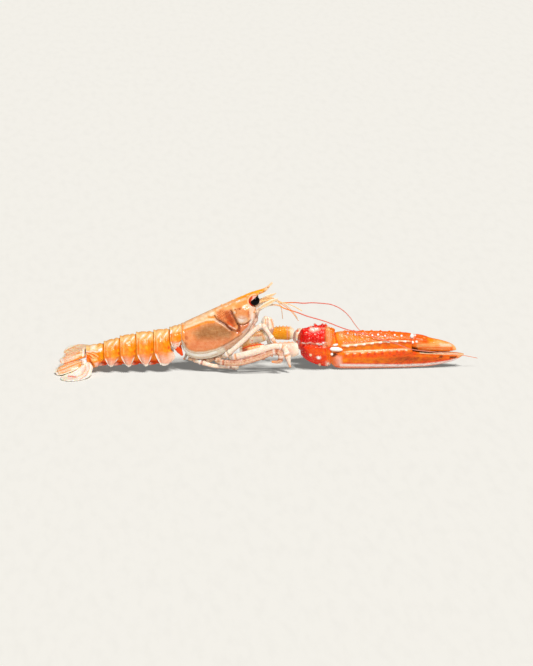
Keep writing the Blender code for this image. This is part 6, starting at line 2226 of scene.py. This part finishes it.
def palm_paint(points, x, s, across, tips, c):
    """Orange with the marks of the face, a cream saw ridge with white tips and a painted shadow
    under each tooth, red teeth along the lower ridge, knobs with painted highlights, painted shade
    over the lower face and in the gap between the fingers, and a simpler inner face."""
    paint = flat_paint(points, c["claw_orange"])
    clouds = ease(0.0, 0.6, ripple(points * (0.45, 1, 1), 8.0, 0.5))
    paint = layered(
        paint, c,
        ("claw_amber", 0.40 * clouds),
        ("wrist_orange", 0.30 * ease(0.0, 0.6, ripple(points * (0.4, 1, 1), 5.5, 2.5))),
    )
    view = side_view(points, CLAW_MIDDLE)
    paint = marked(paint, view, PALM_MARKS, c)
    root = (1 - ease(64.0, 66.4, x + 0.6 * ripple(points, 4.0, 0.2)))[..., None]
    paint = paint * (1 - root) + marked(paint, view, COLLAR_MARKS, c) * root
    near = across < 0.15
    shaft = ease(66, 69, x) * (1 - ease(122, 127, x))
    paint = tinted(paint, c["claw_cream"], 0.9 * near * hump(s, 2.9, 0.17) * shaft)
    # A painted shadow in red orange just under each saw tooth.
    tooth_shadows = ease(0.0, 0.5, np.sin((x - SAW_START) / SAW_SPACING * TAU))
    paint = layered(
        paint, c,
        ("wrist_orange", 0.75 * near * hump(s, 3.25, 0.14) * tooth_shadows * shaft),
        ("white", 0.9 * near * ease(0.40, 0.85, tips)),
        ("wrist_orange", 0.5 * near * hump(s, 2.45, 0.2) * shaft),
    )
    teeth, flecks = (
        ease(0.3, 0.8, np.cos((x - BUMPS_START - shift) / BUMPS_SPACING * TAU)) * near * shaft
        for shift in (3.1, 4.6)
    )
    paint = layered(
        paint, c,
        ("wrist_orange", 0.95 * teeth * hump(s, BUMPS_AT, 0.22)),
        ("claw_cream", 0.8 * flecks * hump(s, 4.75, 0.12)),
        # White spots on the knobs: painted highlights.
        ("white", mark_mask(view, ("spot", "", 1, 0.95, PALM_KNOBS))),
    )
    # Dark streaks over the lower face: painted shade, broken into streaks.
    shaded_streaks = ease(0.25, 0.6, ripple(points * (0.25, 1, 1.6), 3.6, 1.2))
    lower = near * band(5.2, 7.4, 0.3, s) * ease(80, 100, x)
    paint = tinted(paint, c["groove"], 0.50 * shaded_streaks * lower)
    # Finer dark streaks over the lower face towards the finger: painted shade.
    fine = ease(0.35, 0.6, ripple(points * (0.35, 1, 2.6), 2.4, 0.3))
    paint = tinted(paint, c["dark"],
                   0.45 * fine * near * band(5.4, 7.6, 0.4, s) * band(108, 150, 8, x))
    # The top of the fixed finger under the moving one is painted near black: painted shade in the
    # gap.
    top = np.minimum(s, SECTION_POINTS - s) < 2.3
    gap = near * (x > 126.6) * top * (1 - ease(146, 154, x))
    return tinted(paint, c["dark"], 0.95 * gap)


def finger_part(c):
    """The moving finger: a tapering tube with a keel on top and blunt teeth underneath, with a
    painted highlight band along its side and painted shade underneath.
    """
    points, _, angle = tube(DACTYL, 180, 110, FAR)
    x = points[..., 0]
    upward = np.sin(angle)[None] * np.ones_like(x)
    out = -np.cos(angle)[None] * np.ones_like(x)
    bite = np.abs(np.sin((x - 129) * math.pi / BITE_SPACING))
    taper = ease(128.2, 131, x) * (1 - ease(158, 163, x))
    keel = 0.30 * hump(out, 0.86, 0.10) * (upward > 0)
    relief = taper * (0.5 * bite * hump(upward, -1, 0.10) + keel)
    relief = relief - 0.25 * taper * hump(upward, -0.35, 0.10) * (out > 0)
    relief = relief + 0.08 * ripple(points, 5.0, 0.9)
    paint = flat_paint(points, c["claw_orange"])
    streak = ease(0.2, 0.8, ripple(points * (0.12, 1, 1.4), 3.6, 0.6))
    view = side_view(points, CLAW_MIDDLE)
    paint = marked(paint, view, FINGER_CLOUDS, c)
    paint = tinted(paint, c["claw_peach"], 0.45 * streak * band(0.1, 0.9, 0.1, upward))
    paint = marked(paint, view, FINGER_MARKS, c)
    # The finger's underside over the fixed finger is painted near black: painted shade in the gap.
    paint = tinted(paint, c["dark"],
                   0.9 * (1 - ease(-0.98, -0.86, upward)) * (1 - ease(150, 160, x)))
    return raised(points, relief), paint


def to_far_claw(points):
    """The same points mirrored, made smaller and rolled about X to where the far claw lies."""
    local = (points - NEAR_CLAW_ROOT) * FAR_CLAW_SCALE * (1, -1, 1)
    cosine, sine = math.cos(FAR_CLAW_ROLL), math.sin(FAR_CLAW_ROLL)
    y = local[..., 1] * cosine - local[..., 2] * sine
    z = local[..., 1] * sine + local[..., 2] * cosine
    return np.stack((local[..., 0], y, z), axis=2) + FAR_CLAW_ROOT


class LANGOUSTINE_OT_claws(bpy.types.Operator):
    """Make both claws: palm with fixed finger and rows of teeth, and the moving finger"""

    bl_idname = "langoustine.claws"
    bl_label = "Claws"

    def execute(self, context):
        c = colours()
        palm = [palm_part(c, sizes().tooth_height / MM)]
        for place, radii, tilt in KNUCKLES:
            knob = blob(place, radii, 24, 40, tilt)
            height = (knob[..., 2] - place[2]) / radii[2]
            paint = coloured(
                knob, c, "white",
                ("claw_cream", 0.5 * ease(0.0, 0.6, ripple(knob, 3.0, 0.6))),
                ("claw_pink", 0.7 * (1 - ease(-0.7, -0.2, height))),
            )
            palm.append((knob, paint))
        finger = [finger_part(c)]
        finish = shell_finish("claw_shell")
        for side, word in SIDES:
            for name, parts, node in (
                ("claw_palm", palm, "claw_propodus"),
                ("claw_finger", finger, "claw_dactyl"),
            ):
                placed = parts
                if side == FAR:
                    placed = [(to_far_claw(points), paint) for points, paint in parts]
                add_piece(f"{name}_{word}", placed, finish, "shell_claw", f"{node}_{word}")
        return {"FINISHED"}


# ---------------------------------------------------------------- stage

# The way the camera looks, and the point in the anatomical frame that it looks at.
CAMERA_TURN = math.radians(-4)
CAMERA_RISE = math.radians(13)
VIEW_CENTRE = np.array((5.05, 0.0, 30.1))
SENSOR = 36.0
FLOOR_HALF = 9.0
KEY_TINT = (1.0, 0.998, 0.99)
WHITE = (1.0, 1.0, 1.0)
# The lights from above: where each comes from (round from the front, and up), its spread, all in
# degrees, and its share of the key light.
KEYS = (("key_overhead", 20, 66, 11, 0.46), ("key_forward", 24, 50, 12, 0.57))
# The light from the front, in the same way.
FRONT = ("front_fill", -22, 12, 40)


def soft_sun(name, azimuth, elevation, spread, power, colour):
    """Even light from one side of the sky: a disc of that spread, whose direction is the sines
    and cosines of the angle round and the angle up."""
    data = bpy.data.lights.new(name, "SUN")
    data.angle = math.radians(spread)
    data.energy = power
    data.color = colour
    light = bpy.data.objects.new(name, data)
    bpy.context.scene.collection.objects.link(light)
    turn, rise = math.radians(azimuth), math.radians(elevation)
    level = math.cos(rise)
    source = Vector((math.sin(turn) * level, -math.cos(turn) * level, math.sin(rise)))
    light.rotation_euler = source.to_track_quat("Z", "Y").to_euler()
    return light


class LANGOUSTINE_OT_stage(bpy.types.Operator):
    """Make the pale floor, the soft lights and the camera"""

    bl_idname = "langoustine.stage"
    bl_label = "Stage"

    def execute(self, context):
        scene = context.scene
        stage = scene.langoustine_stage
        half = FLOOR_HALF
        mesh = bpy.data.meshes.new("floor")
        corners = [(-half, -half, 0), (half, -half, 0), (half, half, 0), (-half, half, 0)]
        mesh.from_pydata(corners, [], [(0, 1, 2, 3)])
        mesh.materials.append(floor_finish())
        floor = bpy.data.objects.new("floor", mesh)
        scene.collection.objects.link(floor)
        world = bpy.data.worlds.new("soft_studio")
        world.use_nodes = True
        background = world.node_tree.nodes["Background"]
        fill(background, Color=(*WHITE, 1), Strength=stage.sky)
        scene.world = world
        for *direction, share in KEYS:
            soft_sun(*direction, share * stage.key_light, KEY_TINT)
        front = soft_sun(*FRONT, stage.front_light, WHITE)
        front.visible_glossy = False
        screened = bpy.data.collections.new("screened_from_front")
        screened.objects.link(floor)
        screened.collection_objects[0].light_linking.link_state = "EXCLUDE"
        front.light_linking.receiver_collection = screened
        target = Vector((VIEW_CENTRE + PLACE) * MM)
        data = bpy.data.cameras.new("camera")
        data.sensor_width = SENSOR
        data.lens = SENSOR * stage.camera_distance / stage.view_height
        data.clip_end = 100
        camera = bpy.data.objects.new("camera", data)
        scene.collection.objects.link(camera)
        looks = Vector(
            (
                -math.sin(CAMERA_TURN) * math.cos(CAMERA_RISE),
                math.cos(CAMERA_TURN) * math.cos(CAMERA_RISE),
                -math.sin(CAMERA_RISE),
            )
        )
        camera.location = target - looks * stage.camera_distance
        camera.rotation_euler = looks.to_track_quat("-Z", "Y").to_euler()
        scene.camera = camera
        scene.view_settings.view_transform = "Standard"
        return {"FINISHED"}


# ---------------------------------------------------------------- panel and start

OPERATORS = (
    LANGOUSTINE_OT_stage,
    LANGOUSTINE_OT_carapace,
    LANGOUSTINE_OT_eyes,
    LANGOUSTINE_OT_tail,
    LANGOUSTINE_OT_tail_fan,
    LANGOUSTINE_OT_feelers,
    LANGOUSTINE_OT_underside,
    LANGOUSTINE_OT_walking_legs,
    LANGOUSTINE_OT_claw_arms,
    LANGOUSTINE_OT_claws,
)
GROUPS = {
    "langoustine_colours": LangoustineColours,
    "langoustine_sizes": LangoustineSizes,
    "langoustine_stage": LangoustineStage,
}


class LANGOUSTINE_PT_panel(bpy.types.Panel):
    """The langoustine's pieces and settings"""

    bl_label = "Langoustine"
    bl_idname = "LANGOUSTINE_PT_panel"
    bl_space_type = "VIEW_3D"
    bl_region_type = "UI"
    bl_category = "Langoustine"

    def draw(self, context):
        for operator in OPERATORS:
            self.layout.operator(operator.bl_idname)
        for name, group in GROUPS.items():
            box = self.layout.box()
            for key in group.__annotations__:
                box.prop(getattr(context.scene, name), key)


def register():
    for group in GROUPS.values():
        bpy.utils.register_class(group)
    for operator in OPERATORS:
        bpy.utils.register_class(operator)
    bpy.utils.register_class(LANGOUSTINE_PT_panel)
    for name, group in GROUPS.items():
        setattr(bpy.types.Scene, name, bpy.props.PointerProperty(type=group))


def unregister():
    for name in GROUPS:
        delattr(bpy.types.Scene, name)
    bpy.utils.unregister_class(LANGOUSTINE_PT_panel)
    for operator in reversed(OPERATORS):
        bpy.utils.unregister_class(operator)
    for group in reversed(GROUPS.values()):
        bpy.utils.unregister_class(group)


def main():
    register()
    for operator in OPERATORS:
        group, name = operator.bl_idname.split(".")
        getattr(getattr(bpy.ops, group), name)()


if __name__ == "__main__":
    main()
